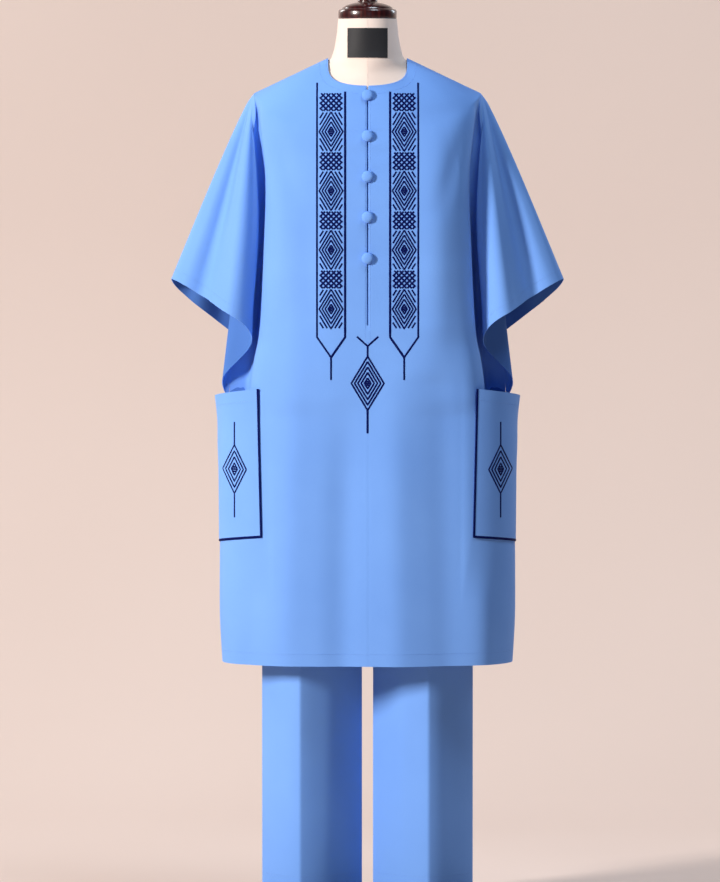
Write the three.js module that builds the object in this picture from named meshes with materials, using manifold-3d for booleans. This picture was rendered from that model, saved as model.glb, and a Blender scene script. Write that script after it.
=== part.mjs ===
// Senator suit, a long tunic and trousers, on a limbless dress form.
// Millimetres, +Z up, front of the suit towards -Y, +X is the wearer's left.
// The origin is the middle of the base plate's underside.
import * as THREE from 'three';
import { mergeVertices } from 'three/addons/utils/BufferGeometryUtils.js';
import Module from 'manifold-3d';

const wasm = await Module();
wasm.setup();

// Cloth and seams
const SEAM_GAP = 0.3;
const HALF_GAP = SEAM_GAP / 2;
const SUIT_WALL = 1.6;
const POCKET_WALL = 1.4;

// Tunic
const NECK_SIDE_X = 71;
const NECK_SIDE_Z = 1537;
const SHOULDER_X = 203;
const SHOULDER_Z = 1474;
const SHOULDER_SLOPE = (SHOULDER_X - NECK_SIDE_X) / (NECK_SIDE_Z - SHOULDER_Z);
const UNDERARM_X = 250;
const UNDERARM_Z = 926;
const TUNIC_HEM_Z = 453;
const ARCH_DEPTH = 28;
const ARCH_STEPS = 6;
const ARCH_HEIGHT = 34;
const ARCH_FOOT_X = 200;
const ARCH_FOOT_Z = SHOULDER_Z - ARCH_HEIGHT;
const FOLD_FULL_Z = 1385;
const VALLEY_FADE_Z = 885;
const BACK_FADE_Z = 770;
const SLIT_WIDTH = 2;
const SLIT_CUT = { depth: 200, height: 600 };
const SLIT_FOOT_Z = 1057;
const PLACKET_WIDTH = 34;
const PLACKET_EASE = 0.4;
const PLACKET_WALL = 1;
const PLACKET_FOOT_Z = 1030;
const PLACKET_HEAD_Z = 1476;

// Pockets
const POCKET_GAP = 0.7;
const POCKET_TOP = { innerX: 194, innerZ: 947, outerZ: 932 };
const POCKET_BOTTOM = { innerX: 188, innerZ: 682, outerZ: 669 };
const POCKET_FLARE = 9;

// Buttons
const BUTTON_RADIUS = 10.5;
const BUTTON_RISE = 8;
const BUTTON_GAP = 0.45;
const BUTTON_SIDES = 14;
const BUTTON_LEAN_SPAN = 8;
const BUTTON_HEIGHTS = [1469, 1397, 1325, 1253, 1180];

// Trousers
const LEG_INNER_X = 10;
const LEG_CREASE_X = 115;
const LEG_OUTER_X = 190;
const LEG_DEPTH = 80;
const TROUSER_HEM_Z = 40;
const CROTCH_Z = 768;
const RISE_TOP_Z = 842;
const WAIST_Z = 1030;
const WAISTBAND_HEIGHT = 38;
const WAIST_GAP = 0.5;
const PANEL_EASE = 1.2;

// Dress form, its neck cap and its stand
const FORM_FOOT_Z = 856;
const NECK_TOP_Z = 1607;
const CAP_RADIUS = 52.5;
const CAP_RIM_HEIGHT = 17;
const CAP_DOME_Z = 1637;
const FINIAL_TOP_Z = 1702;
const FINIAL_RADIUS = 16;
const LABEL_HALF_WIDTH = 36;
const LABEL_FOOT_Z = 1537;
const LABEL_HEAD_Z = 1590;
const LABEL_WALL = 0.8;
const LABEL_GAP = 0.7;
const ROD_RADIUS = 11;
const ROD_X = 100;
const PLATE_SIZE = { x: 460, y: 340, z: 10, corner: 60 };

// Body of the tunic by height: half width of the front at its side, which the shoulder
// seam replaces above the shoulder tip, and its depth to the front and to the back.
const BODY = [
  { z: 1537, side: SHOULDER_X, front: 66, back: 68 },
  { z: 1510, side: SHOULDER_X, front: 75, back: 83 },
  { z: 1488, side: SHOULDER_X, front: 84, back: 93 },
  { z: 1474, side: SHOULDER_X, front: 90, back: 98 },
  { z: 1458, side: 200, front: 96, back: 103 },
  { z: 1400, side: 190, front: 110, back: 111 },
  { z: 1346, side: 182.7, front: 118, back: 113 },
  { z: 1283, side: 181, front: 124, back: 114 },
  { z: 1211, side: 184, front: 126, back: 114 },
  { z: 1103, side: 189, front: 127, back: 116 },
  { z: 1039, side: 194, front: 128, back: 118 },
  { z: 1005, side: 201, front: 129, back: 119 },
  { z: 967, side: 206.6, front: 130, back: 121 },
  { z: 926, side: 210, front: 130, back: 122 },
  { z: 670, side: 215, front: 134, back: 130 },
  { z: 453, side: 215, front: 138, back: 134 },
];

// Side seam of the tunic below the underarm.
const SIDE_SEAM = [
  { z: 926, x: 250 },
  { z: 885, x: 261 },
  { z: 780, x: 264.5 },
  { z: 670, x: 265.5 },
  { z: 540, x: 266 },
  { z: 453, x: 261.5 },
];

// Outer edge of a pocket, which stands off the side seam at its mouth.
const POCKET_EDGE = [
  { z: 932, flare: POCKET_FLARE },
  { z: 880, flare: 5 },
  { z: 800, flare: 1.5 },
  { z: 669, flare: 0 },
];

// Sleeve hem from the underarm round the front to the tip and back behind.
const SLEEVE_HEM = [
  { x: 251, y: -3, z: 926 },
  { x: 258, y: -6, z: 941 },
  { x: 260.5, y: -12, z: 955 },
  { x: 257, y: -18, z: 967 },
  { x: 246, y: -26, z: 981 },
  { x: 226, y: -36, z: 1001 },
  { x: 212, y: -45, z: 1017 },
  { x: 206.5, y: -56, z: 1031 },
  { x: 209.5, y: -68, z: 1047 },
  { x: 222, y: -77, z: 1062 },
  { x: 246, y: -78, z: 1078 },
  { x: 268, y: -60, z: 1092 },
  { x: 292, y: -49, z: 1108 },
  { x: 319, y: -46, z: 1125 },
  { x: 343, y: -24, z: 1138 },
  { x: 353, y: 0, z: 1140 },
  { x: 345, y: 20, z: 1127 },
  { x: 324, y: 38, z: 1106 },
  { x: 300, y: 44, z: 1086 },
  { x: 276, y: 58, z: 1067 },
  { x: 250, y: 72, z: 1046 },
  { x: 226, y: 74, z: 1026 },
  { x: 212, y: 66, z: 1009 },
  { x: 208, y: 54, z: 994 },
  { x: 218, y: 41, z: 977 },
  { x: 242, y: 27, z: 957 },
  { x: 256, y: 12, z: 942 },
  { x: 251, y: 3, z: 926 },
];

// Dress form by height: half width, depth to the front and to the back, and how square its
// section is.
const FORM = [
  { z: 1607, side: 52.5, front: 52, back: 52, power: 2 },
  { z: 1575, side: 56, front: 55, back: 55, power: 2 },
  { z: 1550, side: 61, front: 58, back: 60, power: 2 },
  { z: 1534, side: 68, front: 62, back: 64, power: 1.85 },
  { z: 1520, side: 88, front: 64, back: 71, power: 1.5 },
  { z: 1510, side: 110, front: 66, back: 76, power: 1.4 },
  { z: 1495, side: 154.4, front: 72, back: 84, power: 1.4 },
  { z: 1485, side: 175.3, front: 76, back: 88, power: 1.5 },
  { z: 1474, side: 184, front: 82, back: 92, power: 1.6 },
  { z: 1450, side: 180, front: 91, back: 97, power: 1.7 },
  { z: 1400, side: 172, front: 103, back: 104, power: 1.9 },
  { z: 1346, side: 166, front: 111, back: 106, power: 2 },
  { z: 1283, side: 162, front: 114, back: 105, power: 2 },
  { z: 1211, side: 156, front: 108, back: 98, power: 2 },
  { z: 1120, side: 147, front: 98, back: 90, power: 2 },
  { z: 1072, side: 143, front: 95, back: 88, power: 2 },
  { z: 1026, side: 143, front: 95, back: 88, power: 2 },
  { z: 960, side: 156, front: 103, back: 98, power: 2 },
  { z: 900, side: 163, front: 108, back: 108, power: 2 },
  { z: 872, side: 163, front: 106, back: 108, power: 2 },
  { z: 856, side: 156, front: 98, back: 100, power: 2 },
];

const material = (color, roughness, metalness = 0) =>
  new THREE.MeshStandardMaterial({ color, roughness, metalness });
const MATERIALS = {
  suit: material(0x7cacf0, 0.75),
  placket: material(0x5c8cd6, 0.8),
  form: material(0xe9e0d0, 0.8),
  label: material(0x15151a, 0.7),
  wood: material(0x4a1714, 0.3),
  steel: material(0xb9bcc0, 0.3, 0.9),
  plate: material(0x2c2c30, 0.5, 0.3),
};

const suit = new THREE.Group();

const clamp01 = (v) => Math.min(1, Math.max(0, v));
const mix = (a, b, t) => a + (b - a) * t;
const smooth = (from, to, v) => {
  const t = clamp01((v - from) / (to - from));
  return t * t * (3 - 2 * t);
};

// Value of one named column of a table at a height, on a smooth curve through its rows.
function column(table, key, z) {
  const rows = table[0].z > table.at(-1).z ? [...table].reverse() : table;
  const at = Math.min(rows.length - 1, Math.max(0, rows.findIndex((row) => row.z >= z)));
  if (z <= rows[0].z) return rows[0][key];
  if (z >= rows.at(-1).z) return rows.at(-1)[key];
  const low = rows[at - 1];
  const high = rows[at];
  const before = rows[at - 2] ?? low;
  const after = rows[at + 1] ?? high;
  const span = high.z - low.z;
  const slopeLow = (high[key] - before[key]) / (high.z - before.z);
  const slopeHigh = (after[key] - low[key]) / (after.z - low.z);
  const t = (z - low.z) / span;
  return (2 * t ** 3 - 3 * t ** 2 + 1) * low[key] + (t ** 3 - 2 * t ** 2 + t) * span * slopeLow
    + (3 * t ** 2 - 2 * t ** 3) * high[key] + (t ** 3 - t ** 2) * span * slopeHigh;
}

// Points at steps along a line of points, equal ones unless a spacing is given.
const towardsEnd = (share) => 0.45 * share + 0.55 * Math.sin((share * Math.PI) / 2);
const LINE_SAMPLES = 60;
function evenly(points, count, spacing = (share) => share) {
  const lengths = [0];
  for (let i = 1; i < points.length; i += 1) {
    lengths.push(lengths[i - 1] + points[i].distanceTo(points[i - 1]));
  }
  const total = lengths.at(-1);
  const even = [];
  let at = 1;
  for (let i = 0; i <= count; i += 1) {
    const want = total * spacing(i / count);
    while (at < points.length - 1 && lengths[at] < want) at += 1;
    const share = (want - lengths[at - 1]) / (lengths[at] - lengths[at - 1]);
    even.push(points[at - 1].clone().lerp(points[at], share));
  }
  return even;
}

// A closed cloth wall. The grid is its outer face, and pin may correct each point's
// normal; keep holds the inner face on its own side of a seam.
function wallGeometry(grid, thickness, { facing, pin = () => {}, keep = () => {}, loop = false }) {
  const rows = grid.length;
  const cols = grid[0].length;
  const points = [];
  const inner = [];
  let turn = 0;
  const normals = grid.map((row, i) => row.map((point, j) => {
    const left = grid[i][loop ? (j + cols - 1) % cols : Math.max(0, j - 1)];
    const right = grid[i][loop ? (j + 1) % cols : Math.min(cols - 1, j + 1)];
    const above = grid[Math.max(0, i - 1)][j];
    const below = grid[Math.min(rows - 1, i + 1)][j];
    const across = right.clone().sub(left);
    return across.cross(below.clone().sub(above)).normalize();
  }));
  normals.forEach((row, i) => row.forEach((n, j) => { turn += n.dot(facing(grid[i][j])); }));
  normals.forEach((row, i) => row.forEach((n, j) => {
    n.multiplyScalar(Math.sign(turn));
    pin(n, i, j);
    n.normalize();
    points.push(grid[i][j]);
    const inside = grid[i][j].clone().addScaledVector(n, -thickness);
    keep(inside, i, j);
    inner.push(inside);
  }));
  const all = [...points, ...inner];
  const back = points.length;
  const faces = [];
  const lastCol = loop ? cols : cols - 1;
  const quad = (a, b, c, d) => faces.push([a, b, c], [a, c, d]);
  const id = (i, j) => i * cols + (j % cols);
  for (let i = 0; i < rows - 1; i += 1) {
    for (let j = 0; j < lastCol; j += 1) {
      const corners = [id(i, j), id(i, j + 1), id(i + 1, j + 1), id(i + 1, j)];
      quad(...corners);
      quad(...corners.map((c) => c + back).reverse());
    }
  }
  for (let j = 0; j < lastCol; j += 1) {
    quad(id(0, j + 1), id(0, j), id(0, j) + back, id(0, j + 1) + back);
    quad(id(rows - 1, j), id(rows - 1, j + 1), id(rows - 1, j + 1) + back, id(rows - 1, j) + back);
  }
  for (let i = 0; !loop && i < rows - 1; i += 1) {
    quad(id(i, 0), id(i + 1, 0), id(i + 1, 0) + back, id(i, 0) + back);
    quad(id(i + 1, cols - 1), id(i, cols - 1), id(i, cols - 1) + back, id(i + 1, cols - 1) + back);
  }
  return solidGeometry(all, faces);
}

// A buffer geometry from points and faces, turned so that its faces point out.
function solidGeometry(all, faces) {
  let volume = 0;
  faces.forEach(([a, b, c]) => { volume += all[a].dot(all[b].clone().cross(all[c])); });
  const index = faces.flatMap((face) => (volume < 0 ? [...face].reverse() : face));
  const geometry = new THREE.BufferGeometry();
  geometry.setAttribute('position',
    new THREE.Float32BufferAttribute(all.flatMap((p) => [p.x, p.y, p.z]), 3));
  geometry.setIndex(index);
  geometry.computeVertexNormals();
  return geometry;
}

function add(name, geometry, look) {
  const mesh = new THREE.Mesh(geometry, look);
  mesh.name = name;
  suit.add(mesh);
  return mesh;
}

function toManifold(geometry) {
  const bare = geometry.clone();
  bare.deleteAttribute('normal');
  bare.deleteAttribute('uv');
  const merged = mergeVertices(bare, 1e-4);
  return new wasm.Manifold(new wasm.Mesh({
    numProp: 3,
    vertProperties: new Float32Array(merged.attributes.position.array),
    triVerts: new Uint32Array(merged.index.array),
  }));
}

function fromManifold(solid) {
  const { vertProperties, triVerts, numProp } = solid.getMesh();
  const geometry = new THREE.BufferGeometry();
  const position = [];
  for (let i = 0; i < vertProperties.length; i += numProp) {
    position.push(vertProperties[i], vertProperties[i + 1], vertProperties[i + 2]);
  }
  geometry.setAttribute('position', new THREE.Float32BufferAttribute(position, 3));
  geometry.setIndex(Array.from(triVerts));
  geometry.computeVertexNormals();
  return geometry;
}

// Half width of the tunic at its shoulder seam or side, and depth of one face.
const SECTION_POWER = 2.5;
const bodySide = (z) => (z > SHOULDER_Z
  ? NECK_SIDE_X + (NECK_SIDE_Z - z) * SHOULDER_SLOPE
  : column(BODY, 'side', z));
const faceName = (face) => (face < 0 ? 'front' : 'back');
const bodyDepth = (face, z) => column(BODY, faceName(face), z);

// Round section of a quarter of the body.
function roundSection(x, halfWidth, depth, power = SECTION_POWER) {
  return depth * (1 - clamp01(x / halfWidth) ** power) ** (1 / power);
}

// The armhole edge: an arch over the shoulder tip, then straight to the underarm.
function armholePoint(z) {
  if (z >= ARCH_FOOT_Z) {
    const turn = Math.acos(clamp01((z - ARCH_FOOT_Z) / ARCH_HEIGHT));
    return { x: mix(ARCH_FOOT_X, SHOULDER_X, Math.cos(turn)), y: ARCH_DEPTH * Math.sin(turn) };
  }
  const t = (ARCH_FOOT_Z - z) / (ARCH_FOOT_Z - UNDERARM_Z);
  return { x: mix(ARCH_FOOT_X, UNDERARM_X, t), y: mix(ARCH_DEPTH, HALF_GAP, t) };
}

// Section of the body with the deep fold beside the sleeve, from the middle to the armhole.
function foldSection(z, depth) {
  const side = column(BODY, 'side', z);
  const arm = armholePoint(z);
  const bottom = 0.7 * arm.y;
  const table = [
    { x: 0, y: depth },
    { x: 0.42 * side, y: 0.985 * depth },
    { x: 0.74 * side, y: 0.9 * depth },
    { x: 0.93 * side, y: 0.75 * depth },
    { x: side, y: 0.56 * depth },
    { x: side - 2, y: mix(0.56 * depth, bottom, 0.55) },
    { x: mix(side, arm.x, 0.2), y: bottom + 2 },
    { x: mix(side, arm.x, 0.55), y: bottom },
    { x: arm.x, y: arm.y },
  ];
  return new THREE.CatmullRomCurve3(table.map((row) => new THREE.Vector3(row.x, row.y, z)));
}

// How far the middle of a row lies below its end: the neckline's dip, fading below the shoulder.
const NECK_DIP = { front: 50, back: 7 };
const SHOULDER_DIP = { front: 40, back: 40 };
const DIP_FADE_Z = 1290;
function rowDip(face, endZ) {
  const side = faceName(face);
  if (endZ > SHOULDER_Z) {
    const t = (NECK_SIDE_Z - endZ) / (NECK_SIDE_Z - SHOULDER_Z);
    return mix(NECK_DIP[side], SHOULDER_DIP[side], t);
  }
  return SHOULDER_DIP[side] * smooth(DIP_FADE_Z, SHOULDER_Z, endZ);
}

// One half of a row of the front or back panel, from the middle to its end.
const ROW_SAMPLES = 160;
const BELOW_SHOULDER_EASE = 0.15;
const NECKLINE_FULLNESS = 0.6;
const YOKE_Z = 1505;
function panelRow(face, endZ, count) {
  const dip = rowDip(face, endZ);
  const roundness = mix(0.5, 1, clamp01((NECK_SIDE_Z - endZ) / (NECK_SIDE_Z - SHOULDER_Z)));
  const onShoulder = endZ >= SHOULDER_Z;
  const seamed = endZ < UNDERARM_Z;
  const end = onShoulder || seamed ? null : armholePoint(endZ);
  const folded = smooth(ARCH_FOOT_Z, FOLD_FULL_Z, endZ)
    * smooth(face < 0 ? VALLEY_FADE_Z : BACK_FADE_Z, UNDERARM_Z, endZ);
  const halfWidth = seamed ? column(SIDE_SEAM, 'x', endZ) : bodySide(endZ);
  const row = [];
  for (let k = 0; k <= ROW_SAMPLES; k += 1) {
    const t = k / ROW_SAMPLES;
    const z = endZ - dip * (1 - t * t) ** roundness;
    const depth = bodyDepth(face, z);
    const reach = end ? (1 - (end.y / depth) ** SECTION_POWER) ** (1 / SECTION_POWER) : 1;
    let x = halfWidth * Math.sin(t * Math.asin(reach));
    const power = mix(2, SECTION_POWER, smooth(NECK_SIDE_Z, YOKE_Z, endZ));
    let y = roundSection(x, halfWidth, depth, power);
    if (onShoulder) {
      const line = z > SHOULDER_Z ? bodySide(z) : SHOULDER_X + (SHOULDER_Z - z) * BELOW_SHOULDER_EASE;
      const fullness = mix(NECKLINE_FULLNESS, 1, smooth(NECK_SIDE_Z, YOKE_Z, endZ))
        * smooth(SHOULDER_Z, YOKE_Z, endZ);
      y = mix(y, roundSection(x, line, depth, power), fullness);
    }
    if (end) x += (end.x - halfWidth * reach) * t ** 8;
    if (folded > 0) {
      const at = foldSection(Math.max(UNDERARM_Z, endZ), depth).getPointAt(t);
      x = mix(x, at.x, folded);
      y = mix(y, at.y, folded);
    }
    row.push(new THREE.Vector3(x, face * Math.max(y, HALF_GAP), z));
  }
  return evenly(row, count, towardsEnd);
}
const HALF_COLUMNS = 13;

// Heights at which the rows of a body panel end, from the neck side to the hem.
const ROW_ENDS = [
  { from: NECK_SIDE_Z, to: SHOULDER_Z, steps: 5 },
  { from: ARCH_FOOT_Z, to: UNDERARM_Z, steps: 10 },
  { from: UNDERARM_Z, to: VALLEY_FADE_Z, steps: 3 },
  { from: VALLEY_FADE_Z, to: BACK_FADE_Z, steps: 3 },
  { from: BACK_FADE_Z, to: TUNIC_HEM_Z, steps: 4 },
];
const archEnds = Array.from({ length: ARCH_STEPS },
  (_, k) => ARCH_FOOT_Z + ARCH_HEIGHT * Math.cos((k / ARCH_STEPS) * (Math.PI / 2)));
const rowEnds = ROW_ENDS.flatMap(({ from, to, steps }, part) =>
  Array.from({ length: steps }, (_, k) => mix(from, to, k / steps))
    .concat(part === 0 ? archEnds : [])).concat(TUNIC_HEM_Z);

// Eases the rows between the neckline and a height, so that the yoke rolls over the shoulder.
// The columns beside the slit stay as they are.
const YOKE_PASSES = 6;
const YOKE_FOOT_Z = 1385;
const YOKE_EASE_FROM = 1;
const YOKE_EASE_TO = 5;
function easeYoke(halves) {
  const foot = rowEnds.findIndex((endZ) => endZ < YOKE_FOOT_Z);
  for (let pass = 0; pass < YOKE_PASSES; pass += 1) {
    const before = halves.map((half) => half.map((p) => p.clone()));
    for (let i = 1; i <= foot; i += 1) {
      for (let j = 0; j < HALF_COLUMNS; j += 1) {
        const middle = before[i - 1][j].clone().add(before[i + 1][j]).multiplyScalar(0.5);
        halves[i][j].lerp(middle, 0.5 * smooth(YOKE_EASE_FROM, YOKE_EASE_TO, j));
      }
    }
  }
}

function bodyGrid(face) {
  const halves = rowEnds.map((endZ) => panelRow(face, endZ, HALF_COLUMNS));
  easeYoke(halves);
  return halves.map((half) => {
    const mirrored = half.slice(1).reverse().map((p) => new THREE.Vector3(-p.x, p.y, p.z));
    return [...mirrored, ...half];
  });
}

// Normal shared by the body and the sleeve at the armhole.
const TIP_NORMAL = { x: 0.69, z: 0.72 };
const archNormal = (turn, side, face) => new THREE.Vector3(
  side * TIP_NORMAL.x * Math.cos(turn),
  face * Math.sin(turn),
  TIP_NORMAL.z * Math.cos(turn),
);

function bodyPanel(name, face) {
  const grid = bodyGrid(face);
  const last = 2 * HALF_COLUMNS;
  const geometry = wallGeometry(grid, SUIT_WALL, {
    facing: () => new THREE.Vector3(0, face, 0),
    pin: (n, i, j) => {
      if (j !== 0 && j !== last) return;
      const endZ = rowEnds[i];
      if (endZ < SHOULDER_Z && endZ >= UNDERARM_Z) {
        const turn = Math.acos(clamp01((endZ - ARCH_FOOT_Z) / ARCH_HEIGHT));
        n.copy(archNormal(turn, j ? 1 : -1, face));
      } else n.y = 0;
    },
    keep: (p) => { p.y = face * Math.max(HALF_GAP, face * p.y); },
  });
  if (face > 0) return add(name, geometry, MATERIALS.suit);
  const slit = new THREE.BoxGeometry(SLIT_WIDTH, SLIT_CUT.depth, SLIT_CUT.height);
  slit.translate(0, -SLIT_CUT.depth / 2, SLIT_FOOT_Z + SLIT_CUT.height / 2);
  const cut = toManifold(geometry).subtract(toManifold(slit));
  return add(name, fromManifold(cut), MATERIALS.suit);
}

// A sleeve: a wall between the arch at the shoulder and the folded hem. Its deep fold, which
// runs from the armhole to the ridge of the sleeve, opens downwards from the shoulder.
const SLEEVE_COLUMNS = 40;
const SLEEVE_ROWS = [0, 0.04, 0.1, 0.2, 0.32, 0.45, 0.58, 0.72, 0.86, 1];
const TIP_BLEND = 0.16;
const SLEEVE_SET = 0.6;
const SLEEVE_BULGE = 7;
const FOLD_OPEN_SHARE = 0.4;
const FOLD_LEAN = 7;
const FOLD_LEAN_SPREAD = 0.13;
const HEM_LAST = SLEEVE_HEM.length - 1;
const RIDGES = SLEEVE_HEM.map((row, k) => ({ ...row, share: k / HEM_LAST }))
  .filter((row, k, rows) => Math.abs(row.y) === Math.max(...rows
    .filter((other) => Math.sign(other.y) === Math.sign(row.y)).map((other) => Math.abs(other.y))));
const TURNS = [-1, 1].map((face) => SLEEVE_HEM.map((row, k) => ({ ...row, share: k / HEM_LAST }))
  .filter((row) => Math.sign(row.y) === face).reduce((a, b) => (b.x < a.x ? b : a)));
function sleevePanel(name, side) {
  const hemCurve = new THREE.CatmullRomCurve3(
    SLEEVE_HEM.map((row) => new THREE.Vector3(row.x, row.y, row.z)), false, 'centripetal');
  const tipShare = SLEEVE_HEM.findIndex((row) => row.y === 0) / HEM_LAST;
  const grid = [];
  const turnOf = (a) => (Math.PI / 2) * (1 - (a < tipShare ? a / tipShare : (1 - a) / (1 - tipShare)));
  for (const r of SLEEVE_ROWS) {
    const row = [];
    for (let j = 0; j <= SLEEVE_COLUMNS; j += 1) {
      const a = j / SLEEVE_COLUMNS;
      const isFront = a < tipShare;
      const toTip = isFront ? a / tipShare : (1 - a) / (1 - tipShare);
      const turn = turnOf(a);
      const arch = new THREE.Vector3(
        SLEEVE_SET + mix(ARCH_FOOT_X, SHOULDER_X, Math.cos(turn)),
        (isFront ? -1 : 1) * ARCH_DEPTH * Math.sin(turn),
        ARCH_FOOT_Z + ARCH_HEIGHT * Math.cos(turn) - SEAM_GAP,
      );
      const hem = hemCurve.getPoint(a);
      const ridge = RIDGES[isFront ? 0 : 1];
      const toRidge = isFront ? a / ridge.share : (1 - a) / (1 - ridge.share);
      if (toRidge < 1) {
        const plain = hemCurve.getPoint(isFront ? 0 : 1).lerp(hemCurve.getPoint(ridge.share), toRidge);
        hem.lerp(plain, 1 - smooth(0, FOLD_OPEN_SHARE, r));
      }
      const point = arch.lerp(hem, r);
      const near = clamp01(1 - Math.abs(a - TURNS[isFront ? 0 : 1].share) / FOLD_LEAN_SPREAD);
      point.x -= FOLD_LEAN * Math.sin(Math.PI * r) ** 2 * smooth(0, 1, near);
      point.x += SLEEVE_BULGE * Math.sin(Math.PI * Math.sqrt(r)) * toTip ** 2;
      point.x *= side;
      row.push(point);
    }
    grid.push(row);
  }
  return add(name, wallGeometry(grid, SUIT_WALL, {
    facing: (p) => new THREE.Vector3(Math.abs(p.x) > UNDERARM_X + 50 ? side : 0, 0, 0),
    pin: (n, i, j) => {
      const a = j / SLEEVE_COLUMNS;
      const seam = archNormal(turnOf(a), side, a < tipShare ? -1 : 1);
      const atEdge = j === 0 || j === SLEEVE_COLUMNS;
      n.lerp(seam, atEdge ? 1 : 1 - smooth(0, TIP_BLEND, SLEEVE_ROWS[i]));
    },
  }), MATERIALS.suit);
}

// A patch pocket on the side of the front, its mouth standing off at the side seam.
const POCKET_COLUMNS = 8;
const POCKET_ROWS = 6;
function pocket(name, side) {
  const grid = [];
  for (let i = 0; i <= POCKET_ROWS; i += 1) {
    const v = i / POCKET_ROWS;
    const innerX = mix(POCKET_TOP.innerX, POCKET_BOTTOM.innerX, v);
    const innerZ = mix(POCKET_TOP.innerZ, POCKET_BOTTOM.innerZ, v);
    const outerZ = mix(POCKET_TOP.outerZ, POCKET_BOTTOM.outerZ, v);
    const line = [];
    for (let k = 0; k <= LINE_SAMPLES; k += 1) {
      const t = k / LINE_SAMPLES;
      const z = mix(innerZ, outerZ, t);
      const halfWidth = column(SIDE_SEAM, 'x', Math.min(z, VALLEY_FADE_Z));
      const start = Math.asin(innerX / halfWidth);
      const x = halfWidth * Math.sin(mix(start, Math.PI / 2, t));
      line.push(new THREE.Vector3(x, -Math.max(HALF_GAP, roundSection(x, halfWidth,
        bodyDepth(-1, z))), z));
    }
    const row = evenly(line, POCKET_COLUMNS);
    row.forEach((p, k) => {
      const halfWidth = column(SIDE_SEAM, 'x', Math.min(p.z, VALLEY_FADE_Z));
      const depth = bodyDepth(-1, p.z);
      const n = new THREE.Vector3(
        (p.x / halfWidth) ** (SECTION_POWER - 1) / halfWidth,
        -((-p.y / depth) ** (SECTION_POWER - 1)) / depth,
        0,
      ).normalize();
      const flare = column(POCKET_EDGE, 'flare', p.z) * (k / POCKET_COLUMNS) ** 1.5;
      p.addScaledVector(n, POCKET_GAP + POCKET_WALL + flare);
      p.y = Math.min(p.y, -HALF_GAP);
      p.x *= side;
    });
    grid.push(row);
  }
  return add(name, wallGeometry(grid, POCKET_WALL, {
    facing: () => new THREE.Vector3(0, -1, 0),
    pin: (n, i, j) => {
      if (j === POCKET_COLUMNS) n.set(side, 0, 0);
    },
    keep: (p) => { p.y = Math.min(p.y, -HALF_GAP); },
  }), MATERIALS.suit);
}

// The strip that lies behind the slit.
function placketUnderlap() {
  const grid = [];
  const rows = 14;
  const back = SUIT_WALL + SEAM_GAP;
  for (let i = 0; i <= rows; i += 1) {
    const z = mix(PLACKET_HEAD_Z, PLACKET_FOOT_Z, i / rows);
    const slope = (bodyDepth(-1, z - 5) - bodyDepth(-1, z + 5)) / 10;
    const lean = Math.hypot(1, slope);
    const row = [-1, 0, 1].map((share) => new THREE.Vector3(
      (share * PLACKET_WIDTH) / 2,
      -bodyDepth(-1, z) + (back + PLACKET_EASE) * lean,
      z,
    ));
    grid.push(row);
  }
  return add('placket_underlap', wallGeometry(grid, PLACKET_WALL, {
    facing: () => new THREE.Vector3(0, -1, 0),
  }), MATERIALS.placket);
}

// Covered dome buttons over the slit.
function buttons() {
  const profile = [new THREE.Vector2(0, 0), new THREE.Vector2(0.62 * BUTTON_RADIUS, 0)];
  profile.push(new THREE.Vector2(0.9 * BUTTON_RADIUS, 0.12 * BUTTON_RISE));
  const steps = 4;
  for (let k = 0; k <= steps; k += 1) {
    const turn = (k / steps) * (Math.PI / 2);
    profile.push(new THREE.Vector2(
      BUTTON_RADIUS * Math.cos(turn),
      BUTTON_RISE * (0.25 + 0.75 * Math.sin(turn)),
    ));
  }
  profile.at(-1).x = 0;
  BUTTON_HEIGHTS.forEach((z, k) => {
    const slope = (bodyDepth(-1, z - BUTTON_LEAN_SPAN) - bodyDepth(-1, z + BUTTON_LEAN_SPAN))
      / (2 * BUTTON_LEAN_SPAN);
    const button = add(`button_${k + 1}`, new THREE.LatheGeometry(profile, BUTTON_SIDES),
      MATERIALS.suit);
    button.rotation.x = Math.PI - Math.atan(slope);
    button.position.set(0, -bodyDepth(-1, z) - BUTTON_GAP, z);
  });
}

// One of the four trouser panels, from the hem past the crotch to the waist.
const LEG_COLUMNS = 8;
const LEG_ROWS = [TROUSER_HEM_Z, 250, 500, 700, 735, CROTCH_Z, 792, 817, RISE_TOP_Z, 900, 960, WAIST_Z];
const CREASE_SHARPNESS = 0.37;
function legSection(t, z) {
  const widen = smooth(690, CROTCH_Z, z);
  const inner = mix(LEG_INNER_X, HALF_GAP, widen);
  const toCrease = 0.58;
  const rise = (share) => Math.sin(CREASE_SHARPNESS * Math.PI * share)
    / Math.sin(CREASE_SHARPNESS * Math.PI);
  if (t < toCrease) {
    const share = t / toCrease;
    return { x: mix(inner, LEG_CREASE_X, share), y: LEG_DEPTH * rise(share) ** 0.9 };
  }
  const share = (1 - t) / (1 - toCrease);
  return { x: mix(LEG_OUTER_X, LEG_CREASE_X, share), y: LEG_DEPTH * rise(share) ** 0.8 };
}

function hipSection(t, face, z) {
  const clear = 9 * smooth(WAIST_Z, 980, z) + WAIST_GAP + SUIT_WALL + PANEL_EASE;
  const halfWidth = column(FORM, 'side', Math.max(z, 900)) + clear;
  const depth = column(FORM, faceName(face), Math.max(z, 900)) + clear;
  const x = halfWidth * Math.sin((t * Math.PI) / 2);
  return { x: Math.max(HALF_GAP, x), y: roundSection(x, halfWidth, depth, 2) };
}

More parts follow.
